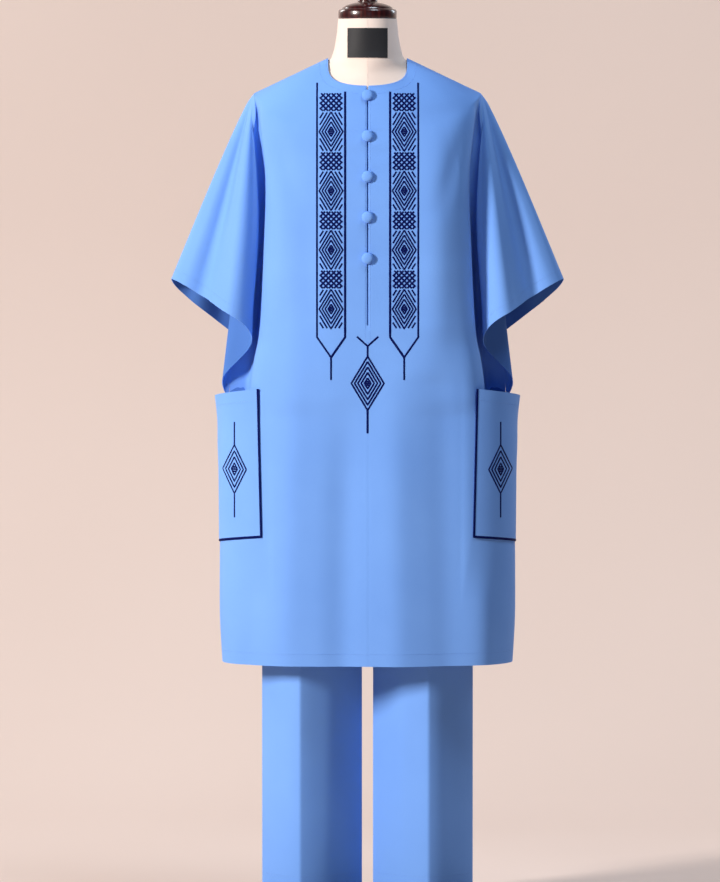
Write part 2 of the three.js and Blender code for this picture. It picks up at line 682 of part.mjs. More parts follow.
function trouserPanel(name, side, face) {
  const grid = LEG_ROWS.map((z) => {
    const risen = smooth(CROTCH_Z, RISE_TOP_Z, z);
    const row = [];
    for (let k = 0; k <= LINE_SAMPLES; k += 1) {
      const t = k / LINE_SAMPLES;
      const leg = legSection(t, z);
      const hip = hipSection(t, face, z);
      row.push(new THREE.Vector3(
        side * mix(leg.x, hip.x, risen),
        face * Math.max(HALF_GAP, mix(leg.y, hip.y, risen)),
        z,
      ));
    }
    return evenly(row, LEG_COLUMNS);
  });
  return add(name, wallGeometry(grid, SUIT_WALL, {
    facing: () => new THREE.Vector3(0, face, 0),
    pin: (n, i, j) => {
      if (j === LEG_COLUMNS) n.set(side, 0, 0);
      if (j === 0 && LEG_ROWS[i] <= CROTCH_Z) n.set(-side, 0, 0);
      if (j === 0 && LEG_ROWS[i] > CROTCH_Z) n.x = 0;
    },
    keep: (p) => {
      p.y = face * Math.max(HALF_GAP, face * p.y);
      p.x = side * Math.max(HALF_GAP, side * p.x);
    },
  }), MATERIALS.suit);
}

// Rings round the upright axis, with their own depth to the front and to the back.
const RING_COLUMNS = 32;
function ring({ side, front, back, power }, z, grow = 0) {
  const bend = (v) => Math.sign(v) * Math.abs(v) ** (2 / power);
  return Array.from({ length: RING_COLUMNS }, (_, k) => {
    const turn = (k / RING_COLUMNS) * Math.PI * 2;
    const depth = (Math.sin(turn) < 0 ? front : back) + grow;
    return new THREE.Vector3((side + grow) * bend(Math.cos(turn)), depth * bend(Math.sin(turn)), z);
  });
}

// Extra rings of the neck, where the bare patch lies on it.
const NECK_RING_HEIGHTS = [1591, 1567, 1558, 1542];
function formTorso() {
  const neckRings = NECK_RING_HEIGHTS.map((z) => ({
    z,
    side: column(FORM, 'side', z),
    front: column(FORM, 'front', z),
    back: column(FORM, 'back', z),
    power: column(FORM, 'power', z),
  }));
  const levels = [...FORM, ...neckRings].sort((a, b) => b.z - a.z);
  const rings = levels.map((level) => ring(level, level.z));
  const all = rings.flat();
  const faces = [];
  for (let i = 0; i < rings.length - 1; i += 1) {
    for (let j = 0; j < RING_COLUMNS; j += 1) {
      const next = (j + 1) % RING_COLUMNS;
      const [a, b] = [i * RING_COLUMNS + j, i * RING_COLUMNS + next];
      faces.push([a, a + RING_COLUMNS, b], [b, a + RING_COLUMNS, b + RING_COLUMNS]);
    }
  }
  const foot = (rings.length - 1) * RING_COLUMNS;
  for (let j = 1; j < RING_COLUMNS - 1; j += 1) {
    faces.push([0, j, j + 1], [foot, foot + j + 1, foot + j]);
  }
  return add('form_torso', solidGeometry(all, faces), MATERIALS.form);
}

function waistband() {
  const waist = FORM.find((row) => row.z === 1026);
  const grow = WAIST_GAP + SUIT_WALL;
  const levels = [WAIST_Z + WAISTBAND_HEIGHT, WAIST_Z + SEAM_GAP];
  const grid = levels.map((z) => ring(waist, z, grow));
  return add('trouser_waistband', wallGeometry(grid, SUIT_WALL, {
    facing: (p) => new THREE.Vector3(p.x, p.y, 0),
    loop: true,
    pin: (n) => { n.z = 0; },
  }), MATERIALS.suit);
}

// Bare patch on the front of the neck.
function neckPatch() {
  const grid = [];
  const rows = 4;
  const cols = 10;
  for (let i = 0; i <= rows; i += 1) {
    const z = mix(LABEL_HEAD_Z, LABEL_FOOT_Z, i / rows);
    const side = column(FORM, 'side', z);
    const depth = column(FORM, 'front', z);
    const power = column(FORM, 'power', z);
    const row = [];
    for (let j = 0; j <= cols; j += 1) {
      const x = mix(-LABEL_HALF_WIDTH, LABEL_HALF_WIDTH, j / cols);
      const skin = roundSection(Math.abs(x), side, depth, power);
      row.push(new THREE.Vector3(x, -skin - LABEL_GAP - LABEL_WALL, z));
    }
    grid.push(row);
  }
  return add('neck_patch', wallGeometry(grid, LABEL_WALL, {
    facing: () => new THREE.Vector3(0, -1, 0),
  }), MATERIALS.label);
}

// Turned wooden cap and finial on top of the neck.
function turned(name, profile, z, look, segments = 22) {
  const geometry = new THREE.LatheGeometry(profile.map(([r, h]) => new THREE.Vector2(r, h)), segments);
  geometry.rotateX(Math.PI / 2);
  const mesh = add(name, geometry, look);
  mesh.position.z = z;
  return mesh;
}

function neckCap() {
  const rim = CAP_RIM_HEIGHT;
  const dome = CAP_DOME_Z - NECK_TOP_Z - SEAM_GAP;
  turned('neck_cap', [
    [0, 0],
    [CAP_RADIUS - 2, 0],
    [CAP_RADIUS, 3],
    [CAP_RADIUS, rim - 4],
    [CAP_RADIUS - 2, rim],
    [0.78 * CAP_RADIUS, rim + 0.5 * (dome - rim)],
    [0.5 * CAP_RADIUS, rim + 0.85 * (dome - rim)],
    [FINIAL_RADIUS + 3, dome],
    [0, dome],
  ], NECK_TOP_Z + SEAM_GAP, MATERIALS.wood);
  const height = FINIAL_TOP_Z - CAP_DOME_Z - SEAM_GAP;
  turned('neck_finial', [
    [0, 0],
    [FINIAL_RADIUS + 2, 0],
    [FINIAL_RADIUS + 2, 4],
    [FINIAL_RADIUS - 2, 8],
    [FINIAL_RADIUS - 4, 20],
    [FINIAL_RADIUS - 2, 30],
    [FINIAL_RADIUS + 4, 40],
    [FINIAL_RADIUS + 4, 47],
    [FINIAL_RADIUS - 2, height - 5],
    [5, height],
    [0, height],
  ], CAP_DOME_Z + SEAM_GAP, MATERIALS.wood);
}

function stand() {
  const { x, y, z, corner } = PLATE_SIZE;
  const outline = new THREE.Shape();
  const [hx, hy] = [x / 2 - corner, y / 2 - corner];
  outline.absarc(hx, hy, corner, 0, Math.PI / 2);
  outline.absarc(-hx, hy, corner, Math.PI / 2, Math.PI);
  outline.absarc(-hx, -hy, corner, Math.PI, 1.5 * Math.PI);
  outline.absarc(hx, -hy, corner, 1.5 * Math.PI, 2 * Math.PI);
  outline.closePath();
  add('base_plate', new THREE.ExtrudeGeometry(outline,
    { depth: z, bevelEnabled: false, curveSegments: 8 }), MATERIALS.plate);
  const length = FORM_FOOT_Z - z - 2 * SEAM_GAP;
  [['rod_left', 1], ['rod_right', -1]].forEach(([name, side]) => {
    const geometry = new THREE.CylinderGeometry(ROD_RADIUS, ROD_RADIUS, length, 16);
    geometry.rotateX(Math.PI / 2);
    const rod = add(name, geometry, MATERIALS.steel);
    rod.position.set(side * ROD_X, 0, z + SEAM_GAP + length / 2);
  });
}

const SIDES = [['left', 1], ['right', -1]];
bodyPanel('tunic_front', -1);
bodyPanel('tunic_back', 1);
SIDES.forEach(([label, side]) => {
  sleevePanel(`sleeve_${label}`, side);
  pocket(`pocket_${label}`, side);
  trouserPanel(`trouser_front_${label}`, side, -1);
  trouserPanel(`trouser_back_${label}`, side, 1);
});
placketUnderlap();
buttons();
waistband();
formTorso();
neckPatch();
neckCap();
stand();

export default suit;
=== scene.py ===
import math

import bpy
import numpy as np
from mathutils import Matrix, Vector
from mathutils.bvhtree import BVHTree


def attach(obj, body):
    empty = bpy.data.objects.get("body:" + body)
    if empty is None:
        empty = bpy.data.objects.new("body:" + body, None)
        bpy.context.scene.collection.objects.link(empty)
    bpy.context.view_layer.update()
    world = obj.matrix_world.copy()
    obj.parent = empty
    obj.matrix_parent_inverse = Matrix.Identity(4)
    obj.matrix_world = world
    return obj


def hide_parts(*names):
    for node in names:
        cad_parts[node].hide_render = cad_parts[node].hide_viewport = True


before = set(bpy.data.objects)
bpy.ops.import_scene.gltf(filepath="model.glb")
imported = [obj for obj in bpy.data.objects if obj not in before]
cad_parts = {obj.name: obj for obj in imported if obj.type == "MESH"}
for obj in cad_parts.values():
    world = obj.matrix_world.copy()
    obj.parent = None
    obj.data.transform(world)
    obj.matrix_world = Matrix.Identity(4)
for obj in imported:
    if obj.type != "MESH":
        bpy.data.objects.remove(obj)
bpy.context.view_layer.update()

# Senator suit on a limbless dress form. Sizes are millimetres until a mesh is made.
# The front faces -Y and +X is the wearer's left.
MM = 0.001

# Which way each face of a garment looks along Y, and which way each side lies along X
WAY = {"front": -1, "back": 1}
SIDES = (("left", 1), ("right", -1))
FORWARD = (0, -1, 0)

# Cloth and seams
HALF_GAP = 0.08
CLOTH = 1.2

# Tunic
NECK_SIDE_X = 71
NECK_SIDE_Z = 1537
SHOULDER_X = 203
SHOULDER_Z = 1474
UNDERARM_X = 250
UNDERARM_Z = 926
TUNIC_HEM_Z = 453
ARCH_DEPTH = 28
ARCH_HEIGHT = 34
ARCH_STEPS = 6
ARCH_FOOT_X = 200
ARCH_FOOT_Z = SHOULDER_Z - ARCH_HEIGHT
FOLD_FROM_Z = 1470
FOLD_FULL_Z = 1434
VALLEY_FADE_Z = 885
BACK_FADE_Z = 770
SLIT_FOOT_Z = 1057
SLIT_HALF = 1.25
NECK_DIP = {"front": 50, "back": 7}
SHOULDER_DIP = 40
DIP_FADE_Z = 1290
SECTION_POWER = 2.5
NECKLINE_FULLNESS = 0.6
YOKE_Z = 1505
YOKE_FOOT_Z = 1385
YOKE_PASSES = 6
BELOW_SHOULDER_EASE = 0.15
HALF_COLUMNS = 52
EASE_FROM = 4
EASE_TO = 20
EASE_FADE = (32, 44)
ROW_SAMPLES = 140
HEM_REACH = 40
EDGE_HOLD = 0.12
SLIT_SETBACK = 0.7

# Body by height: half width at its side and depth to the front and back.
BODY = {
    "z": [1537, 1510, 1488, 1474, 1458, 1400, 1346, 1283, 1211, 1103, 1039, 1005, 967, 926, 670, 453],
    "side": [203, 203, 203, 203, 200, 190, 182.7, 181, 184, 189, 194, 201, 206.6, 210, 215, 215],
    "front": [66, 75, 84, 90, 96, 110, 118, 124, 126, 127, 128, 129, 130, 130, 134, 138],
    "back": [68, 83, 93, 98, 103, 111, 113, 114, 114, 116, 118, 119, 121, 122, 130, 134],
}
SIDE_SEAM = {"z": [926, 885, 780, 670, 540, 453], "x": [250, 261, 264.5, 265.5, 266, 261.5]}

# Form by height: half width, depths and how square its section is.
FORM = {
    "z": [1607, 1575, 1550, 1534, 1520, 1510, 1495, 1485, 1474, 1450, 1400, 1346, 1283, 1211, 1120,
          1072, 1026, 960, 900, 872, 856],
    "side": [52.5, 56, 61, 68, 88, 110, 154.4, 175.3, 184, 180, 172, 166, 162, 156, 147,
             143, 143, 156, 163, 163, 156],
    "front": [52, 55, 58, 62, 64, 66, 72, 76, 82, 91, 103, 111, 114, 108, 98, 95, 95, 103, 108, 106, 98],
    "back": [52, 55, 60, 64, 71, 76, 84, 88, 92, 97, 104, 106, 105, 98, 90, 88, 88, 98, 108, 108, 100],
    "power": [2, 2, 2, 1.85, 1.5, 1.4, 1.4, 1.5, 1.6, 1.7, 1.9, 2, 2, 2, 2, 2, 2, 2, 2, 2, 2],
}


def clamp01(v):
    return min(1.0, max(0.0, v))


def mix(a, b, t):
    return a + (b - a) * t


def smooth(start, end, v):
    t = clamp01((v - start) / (end - start))
    return t * t * (3 - 2 * t)


def hermite(t, start, leave, end, arrive):
    """A cubic from start to end, with its slopes at both ends times the span."""
    return ((2 * t**3 - 3 * t**2 + 1) * start + (t**3 - 2 * t**2 + t) * leave
            + (3 * t**2 - 2 * t**3) * end + (t**3 - t**2) * arrive)


def column(table, key, z):
    """Value of one column of a table at a height, on a smooth curve through its rows."""
    heights, values = table["z"][::-1], table[key][::-1]
    if z <= heights[0]:
        return values[0]
    if z >= heights[-1]:
        return values[-1]
    high = next(i for i, h in enumerate(heights) if h >= z)
    low = high - 1
    before, after = max(0, low - 1), min(len(heights) - 1, high + 1)
    span = heights[high] - heights[low]
    leave = (values[high] - values[before]) / (heights[high] - heights[before])
    arrive = (values[after] - values[low]) / (heights[after] - heights[low])
    return hermite((z - heights[low]) / span, values[low], span * leave, values[high], span * arrive)


def spline(points, samples):
    """Points on a smooth curve through a list of points, at shares of its parameter."""
    p = np.array(points, float)
    ends = np.vstack([2 * p[0] - p[1], p, 2 * p[-1] - p[-2]])
    last = len(p) - 1
    out = []
    for s in samples:
        u = min(s, 1.0) * last
        i = min(int(u), last - 1)
        a, b, c, d = ends[i:i + 4]
        k0, k1, k2 = (max(np.linalg.norm(q - r) ** 0.5, 1e-4) for q, r in ((b, a), (c, b), (d, c)))
        leave = ((b - a) / k0 - (c - a) / (k0 + k1) + (c - b) / k1) * k1
        arrive = ((c - b) / k1 - (d - b) / (k1 + k2) + (d - c) / k2) * k1
        out.append(hermite(u - i, b, leave, c, arrive))
    return np.array(out)


def towards_end(share):
    return 0.45 * share + 0.55 * math.sin(share * math.pi / 2)


def run_along(points):
    """The way along a line of points up to each of them."""
    return np.concatenate([[0], np.cumsum(np.linalg.norm(np.diff(points, axis=0), axis=1))])


def at_way(way, run, points):
    """The points at some ways along a line of points."""
    return np.stack([np.interp(way, run, points[:, k]) for k in range(3)], axis=-1)


def evenly(points, count, spacing=lambda share: share):
    """Points at steps along a line of points, equal ones unless a spacing is given."""
    p = np.array(points, float)
    run = run_along(p)
    return at_way([run[-1] * spacing(i / count) for i in range(count + 1)], run, p)


def refine(grid, rows_by, cols_by):
    """A finer grid on a smooth surface through a grid's points."""
    g = np.array(grid, float)
    for by in (cols_by, rows_by):
        g = g.transpose(1, 0, 2)
        last = len(g) - 1
        t = np.arange(last * by + 1) / by
        i = np.minimum(t.astype(int), last - 1)
        falls = np.diff(g, axis=0)
        step = np.maximum(np.linalg.norm(falls, axis=2).mean(axis=1), 1e-6)[:, None, None]
        slope = falls / step
        inner = (slope[:-1] * step[1:] + slope[1:] * step[:-1]) / (step[:-1] + step[1:])
        m = np.concatenate([slope[:1], inner, slope[-1:]])
        g = hermite((t - i)[:, None, None], g[i], step[i] * m[i], g[i + 1], step[i] * m[i + 1])
    return g


def grid_normals(grid, outward):
    """Unit normals of a grid, turned so that they face outward on the whole."""
    n = np.cross(np.gradient(grid, axis=1), np.gradient(grid, axis=0))
    n /= np.maximum(np.linalg.norm(n, axis=2, keepdims=True), 1e-9)
    return n * np.sign(np.sum(n * outward))


def quads(rows, cols, closed=False):
    """Row, column and corners of each face of a grid."""
    for i in range(rows - 1):
        for j in range(cols if closed else cols - 1):
            k = (j + 1) % cols
            yield i, j, (i * cols + j, i * cols + k, (i + 1) * cols + k, (i + 1) * cols + j)


def put(name, data, place=(0, 0, 0), target=None):
    """An object at a place in metres, turned to its target."""
    thing = bpy.data.objects.new(name, data)
    bpy.context.collection.objects.link(thing)
    thing.location = place
    if target:
        way = Vector(target) - thing.location
        thing.rotation_euler = way.to_track_quat("-Z", "Y").to_euler()
    return thing


def add_piece(name, points, faces, crisp=None):
    """A smooth shaded piece from points in millimetres, crisp where it bends by more degrees."""
    mesh = bpy.data.meshes.new(name)
    mesh.from_pydata((np.array(points, float) * MM).tolist(), [], faces)
    mesh.shade_smooth()
    if crisp:
        mesh.set_sharp_from_angle(angle=math.radians(crisp))
    return put(name, mesh)


def lay_flat(mesh, name, flat):
    """Gives each point of a mesh its place on the flat cloth."""
    layer = mesh.uv_layers.new(name=name)
    for loop in mesh.loops:
        layer.data[loop.index].uv = flat[loop.vertex_index]


# The outer grid of each cloth piece, by its name
GRIDS = {}


def surface(name, grid, thickness, outward, skip=None, closed=False):
    """A thin cloth piece on a grid of outer points, in millimetres, walled inwards."""
    rows, cols = grid.shape[:2]
    turned = np.cross(np.gradient(grid, axis=1), np.gradient(grid, axis=0))
    ahead = np.sum(turned * grid_normals(grid, outward)) > 0
    faces = [face if ahead else face[::-1] for i, j, face in quads(rows, cols, closed)
             if skip is None or not skip(i, j)]
    piece = add_piece(name, grid.reshape(-1, 3), faces)
    mesh = piece.data
    uses = {}
    for polygon in mesh.polygons:
        for key in polygon.edge_keys:
            uses[key] = uses.get(key, 0) + 1
    for edge in mesh.edges:
        edge.use_edge_sharp = uses[edge.key] == 1
    across = np.cumsum(np.linalg.norm(np.diff(grid, axis=1), axis=2), axis=1)
    across = np.pad(across, ((0, 0), (1, 0)))
    across -= across[:, cols // 2][:, None]
    down = np.cumsum(np.linalg.norm(np.diff(grid, axis=0), axis=2), axis=0)
    down = np.pad(down, ((1, 0), (0, 0)))
    lay_flat(mesh, "cloth", np.stack([across.ravel(), down.ravel()], axis=1) * MM)
    GRIDS[name] = grid
    wall = piece.modifiers.new("wall", "SOLIDIFY")
    wall.thickness = thickness * MM
    wall.offset = -1
    wall.use_even_offset = False
    return piece


def down_shoulder(z):
    """Share of the way down the shoulder line, from the neck side to the tip."""
    return (NECK_SIDE_Z - z) / (NECK_SIDE_Z - SHOULDER_Z)


def body_side(z):
    return mix(NECK_SIDE_X, SHOULDER_X, down_shoulder(z)) if z > SHOULDER_Z else column(BODY, "side", z)


def front_depth(z):
    return column(BODY, "front", z)


def round_section(x, half_width, depth, power=SECTION_POWER):
    return depth * (1 - clamp01(x / half_width) ** power) ** (1 / power)


def arch_point(turn):
    """A point of the arch over the shoulder tip, by its turn from the top."""
    return (mix(ARCH_FOOT_X, SHOULDER_X, math.cos(turn)), ARCH_DEPTH * math.sin(turn),
            ARCH_FOOT_Z + ARCH_HEIGHT * math.cos(turn))


def armhole_point(z):
    """The armhole edge: an arch over the shoulder tip, then straight to the underarm."""
    if z >= ARCH_FOOT_Z:
        return arch_point(math.acos(clamp01((z - ARCH_FOOT_Z) / ARCH_HEIGHT)))[:2]
    t = (ARCH_FOOT_Z - z) / (ARCH_FOOT_Z - UNDERARM_Z)
    return mix(ARCH_FOOT_X, UNDERARM_X, t), mix(ARCH_DEPTH, HALF_GAP, t)


def fold_section(z, depth):
    """Section of the body with the deep fold beside the sleeve, from the middle to the armhole."""
    side = column(BODY, "side", z)
    arm_x, arm_y = armhole_point(z)
    bottom = 0.7 * arm_y
    points = [
        (0, depth),
        (0.42 * side, 0.985 * depth),
        (0.74 * side, 0.9 * depth),
        (0.93 * side, 0.75 * depth),
        (side, 0.56 * depth),
        (side - 2, mix(0.56 * depth, bottom, 0.55)),
        (mix(side, arm_x, 0.2), bottom + 2),
        (mix(side, arm_x, 0.55), bottom),
        (arm_x, arm_y),
    ]
    line = spline([(x, y, z) for x, y in points], np.linspace(0, 1, 4 * ROW_SAMPLES + 1))
    return evenly(line, ROW_SAMPLES)


def row_dip(face, end_z):
    """How far the middle of a row hangs below its end."""
    if end_z > SHOULDER_Z:
        return mix(NECK_DIP[face], SHOULDER_DIP, down_shoulder(end_z))
    return SHOULDER_DIP * smooth(DIP_FADE_Z, SHOULDER_Z, end_z)


def panel_row(face, end_z):
    """One half of a row of the front or back panel, from the middle to its end."""
    dip = row_dip(face, end_z)
    roundness = mix(0.5, 1, clamp01(down_shoulder(end_z)))
    on_shoulder = end_z >= SHOULDER_Z
    seamed = end_z < UNDERARM_Z
    end = None if on_shoulder or seamed else armhole_point(end_z)
    fade = VALLEY_FADE_Z if face == "front" else BACK_FADE_Z
    folded = smooth(FOLD_FROM_Z, FOLD_FULL_Z, end_z) * smooth(fade, UNDERARM_Z, end_z)
    half_width = column(SIDE_SEAM, "x", end_z) if seamed else body_side(end_z)
    yoke = smooth(NECK_SIDE_Z, YOKE_Z, end_z)
    power = mix(2, SECTION_POWER, yoke)
    fullness = mix(NECKLINE_FULLNESS, 1, yoke) * smooth(SHOULDER_Z, YOKE_Z, end_z)
    folds = {}
    row = []
    for k in range(ROW_SAMPLES + 1):
        t = k / ROW_SAMPLES
        z = end_z - dip * (1 - t * t) ** roundness
        depth = column(BODY, face, z)
        reach = (1 - (end[1] / depth) ** SECTION_POWER) ** (1 / SECTION_POWER) if end else 1
        x = half_width * math.sin(t * math.asin(reach))
        y = round_section(x, half_width, depth, power)
        if on_shoulder:
            line = body_side(z) if z > SHOULDER_Z else SHOULDER_X + (SHOULDER_Z - z) * BELOW_SHOULDER_EASE
            y = mix(y, round_section(x, line, depth, power), fullness)
        if end:
            x += (end[0] - half_width * reach) * t**8
        if folded > 0:
            size = round(depth)
            if size not in folds:
                folds[size] = fold_section(max(UNDERARM_Z, end_z), size)
            x = mix(x, folds[size][k][0], folded)
            y = mix(y, folds[size][k][1], folded)
            if seamed:
                x += (half_width - UNDERARM_X) * folded * t**8
        row.append((x, WAY[face] * max(y, HALF_GAP), z))
    return evenly(row, HALF_COLUMNS, towards_end)


def row_ends():
    """Heights at which the rows of a body panel end, from the neck side to the hem."""
    spans = [
        (NECK_SIDE_Z, SHOULDER_Z, 5),
        (ARCH_FOOT_Z, UNDERARM_Z, 20),
        (UNDERARM_Z, VALLEY_FADE_Z, 3),
        (VALLEY_FADE_Z, BACK_FADE_Z, 3),
        (BACK_FADE_Z, TUNIC_HEM_Z, 4),
    ]
    ends = []
    for part, (start, stop, steps) in enumerate(spans):
        ends += [mix(start, stop, k / steps) for k in range(steps)]
        if part == 0:
            ends += [arch_point(k / ARCH_STEPS * math.pi / 2)[2] for k in range(ARCH_STEPS)]
    return ends + [TUNIC_HEM_Z]


def ease_yoke(half, ends):
    """Eases the rows below the neckline, so that the yoke rolls over the shoulder."""
    foot = next(i for i, end in enumerate(ends) if end < YOKE_FOOT_Z)
    share = [0.5 * smooth(EASE_FROM, EASE_TO, j) * (1 - 0.85 * smooth(*EASE_FADE, j))
             for j in range(HALF_COLUMNS)]
    share = np.array(share)[None, :, None]
    for _ in range(YOKE_PASSES):
        inner = half[1:foot + 1, :HALF_COLUMNS]
        middle = (half[:foot, :HALF_COLUMNS] + half[2:foot + 2, :HALF_COLUMNS]) / 2
        half[1:foot + 1, :HALF_COLUMNS] = inner + (middle - inner) * share


# Soft troughs and ridges of the cloth: X and Z of the start and of the end, how
# wide to each side and how high, a trough below 0. They fade towards both ends, but not at the hem.
CREASES = {
    "front": [
        (-38, 930, -44, 462, 32, -7.0),
        (46, 990, 54, 460, 34, 6.0),
        (132, 1060, 146, 462, 34, -5.5),
        (-132, 1060, -148, 462, 34, 4.5),
        (204, 640, 208, 470, 24, 3.5),
        (-206, 640, -212, 480, 22, -3.0),
        (196, 1466, 122, 1250, 18, -3.0),
        (-196, 1466, -120, 1270, 17, -2.5),
        (126, 1420, 120, 960, 34, 7.0),
        (-164, 1410, -152, 1090, 22, 2.6),
        (-110, 1320, -100, 1020, 24, -2.2),
    ],
    "back": [
        (-30, 1010, -36, 462, 34, 5.0),
        (48, 960, 58, 461, 30, -5.5),
        (128, 1010, 140, 462, 34, 4.5),
        (-110, 980, -124, 461, 34, -5.5),
        (-180, 850, -188, 464, 24, 4.0),
        (192, 830, 198, 468, 22, -3.0),
        (190, 1462, 96, 1300, 16, -2.2),
        (-190, 1462, -84, 1310, 17, -2.0),
        (120, 1440, 70, 1392, 12, -1.3),
        (-112, 1436, -60, 1386, 13, -1.4),
        (150, 1380, 132, 1080, 24, 3.4),
        (-148, 1370, -134, 1070, 26, 3.8),
        (4, 1470, 2, 1150, 26, -1.5),
    ],
}


# The cloth lies plain under the pockets, and its creases fade over some way beside them.
PATCH_INNER_X = 184
PATCH_HEAD_Z = 952
PATCH_FOOT_Z = 664
PATCH_FADE = {"beside": 16, "below": 90, "above": 30}


def creased(grid, outward, creases):
    """A grid moved along its normals by soft troughs and ridges."""
    x, z = grid[:, :, 0], grid[:, :, 2]
    lift = np.zeros(x.shape)
    for from_x, from_z, to_x, to_z, width, rise in creases:
        run = np.array([to_x - from_x, to_z - from_z])
        t = ((x - from_x) * run[0] + (z - from_z) * run[1]) / (run @ run)
        off = ((x - from_x) * run[1] - (z - from_z) * run[0]) / np.linalg.norm(run)
        fade = np.sin(np.pi * np.clip(t, 0, 1)) ** 0.8
        if to_z < TUNIC_HEM_Z + HEM_REACH:
            fade = np.where(t > 0.5, 1, fade)
        lift += rise * np.where((t < 0) | (t > 1.2), 0, fade) * np.exp(-((off / width) ** 2))
    for side in (1, -1):
        beside = np.clip((PATCH_INNER_X - side * x) / PATCH_FADE["beside"], 0, 1)
        below = np.clip((PATCH_FOOT_Z - z) / PATCH_FADE["below"], 0, 1)
        above = np.clip((z - PATCH_HEAD_Z) / PATCH_FADE["above"], 0, 1)
        lift *= np.maximum(beside, np.maximum(below, above))
    return grid + grid_normals(grid, outward) * lift[:, :, None]


def body_panel(face):
    """The front or back of the tunic. The front's middle column is doubled, to part at the slit."""
    way = WAY[face]
    outward = (0, way, 0)
    ends = row_ends()
    half = np.array([panel_row(face, end) for end in ends])
    ease_yoke(half, ends)
    mirror = half[:, :0:-1] * np.array([-1, 1, 1])
    grid = refine(np.concatenate([mirror, half], axis=1), 4, 2)
    edge = np.abs(np.linspace(-1, 1, grid.shape[1]))[None, :, None]
    grid += (creased(grid, outward, CREASES[face]) - grid) * np.clip((1 - edge) / EDGE_HOLD, 0, 1)
    grid[:, :, 1] = way * np.maximum(way * grid[:, :, 1], HALF_GAP)
    skip = None
    if face == "front":
        middle = grid.shape[1] // 2
        line = grid[:, middle].copy()
        line[:, 1] += np.where(line[:, 2] > SLIT_FOOT_Z, SLIT_SETBACK, 0)
        rims = np.stack([line - (SLIT_HALF, 0, 0), line + (SLIT_HALF, 0, 0)], axis=1)
        grid = np.concatenate([grid[:, :middle], rims, grid[:, middle + 1:]], axis=1)

        def skip(i, j):
            return j == middle and grid[i + 1, j, 2] > SLIT_FOOT_Z

    return surface(f"tunic_{face}_cloth", grid, CLOTH, outward, skip)


# Sleeve hem from the underarm round the front to the tip and back behind.
SLEEVE_HEM = [
    (250.2, -0.4, 925), (257, -4, 939), (260.5, -11, 954), (257, -18, 967), (246, -26, 981),
    (226, -36, 1001), (212, -45, 1017), (206.5, -54, 1031), (210.5, -64, 1047), (223, -74, 1062),
    (246, -80, 1078), (268, -68, 1092), (292, -50, 1108), (319, -42, 1125), (343, -26, 1138),
    (353, 0, 1140), (345, 20, 1127), (324, 38, 1106), (300, 44, 1086), (276, 58, 1067),
    (250, 72, 1046), (226, 74, 1026), (212, 66, 1009), (208, 54, 994), (218, 41, 977),
    (242, 27, 957), (256, 10, 941), (250.2, 0.4, 925),
]
SLEEVE_COLUMNS = 40
SLEEVE_ROWS = [0, 0.04, 0.1, 0.2, 0.32, 0.45, 0.58, 0.72, 0.86, 1]
SLEEVE_SET = 0.25
SLEEVE_BULGE = 7
SLEEVE_FORWARD = 8
FORWARD_FROM = (0.12, 0.26)
FORWARD_TO = (0.52, 0.36)
SLEEVE_OUTSIDE_X = 300
FOLD_OPEN_SHARE = 0.24
FOLD_LEAN = 11
FOLD_LEAN_SPREAD = 0.13

# Soft folds that fan from the shoulder tip over the sleeve: share of the way round, start and
# end down its length, how wide in shares and how high, a trough below 0.
SLEEVE_FOLDS = [
    (0.360, 0.02, 1.30, 0.030, 6.0),
    (0.458, 0.02, 1.50, 0.026, -12.0),
    (0.530, 0.20, 1.25, 0.014, 2.0),
    (0.600, 0.08, 1.25, 0.020, 3.6),
    (0.655, 0.12, 1.30, 0.020, -5.0),
    (0.715, 0.10, 1.25, 0.020, 3.6),
]


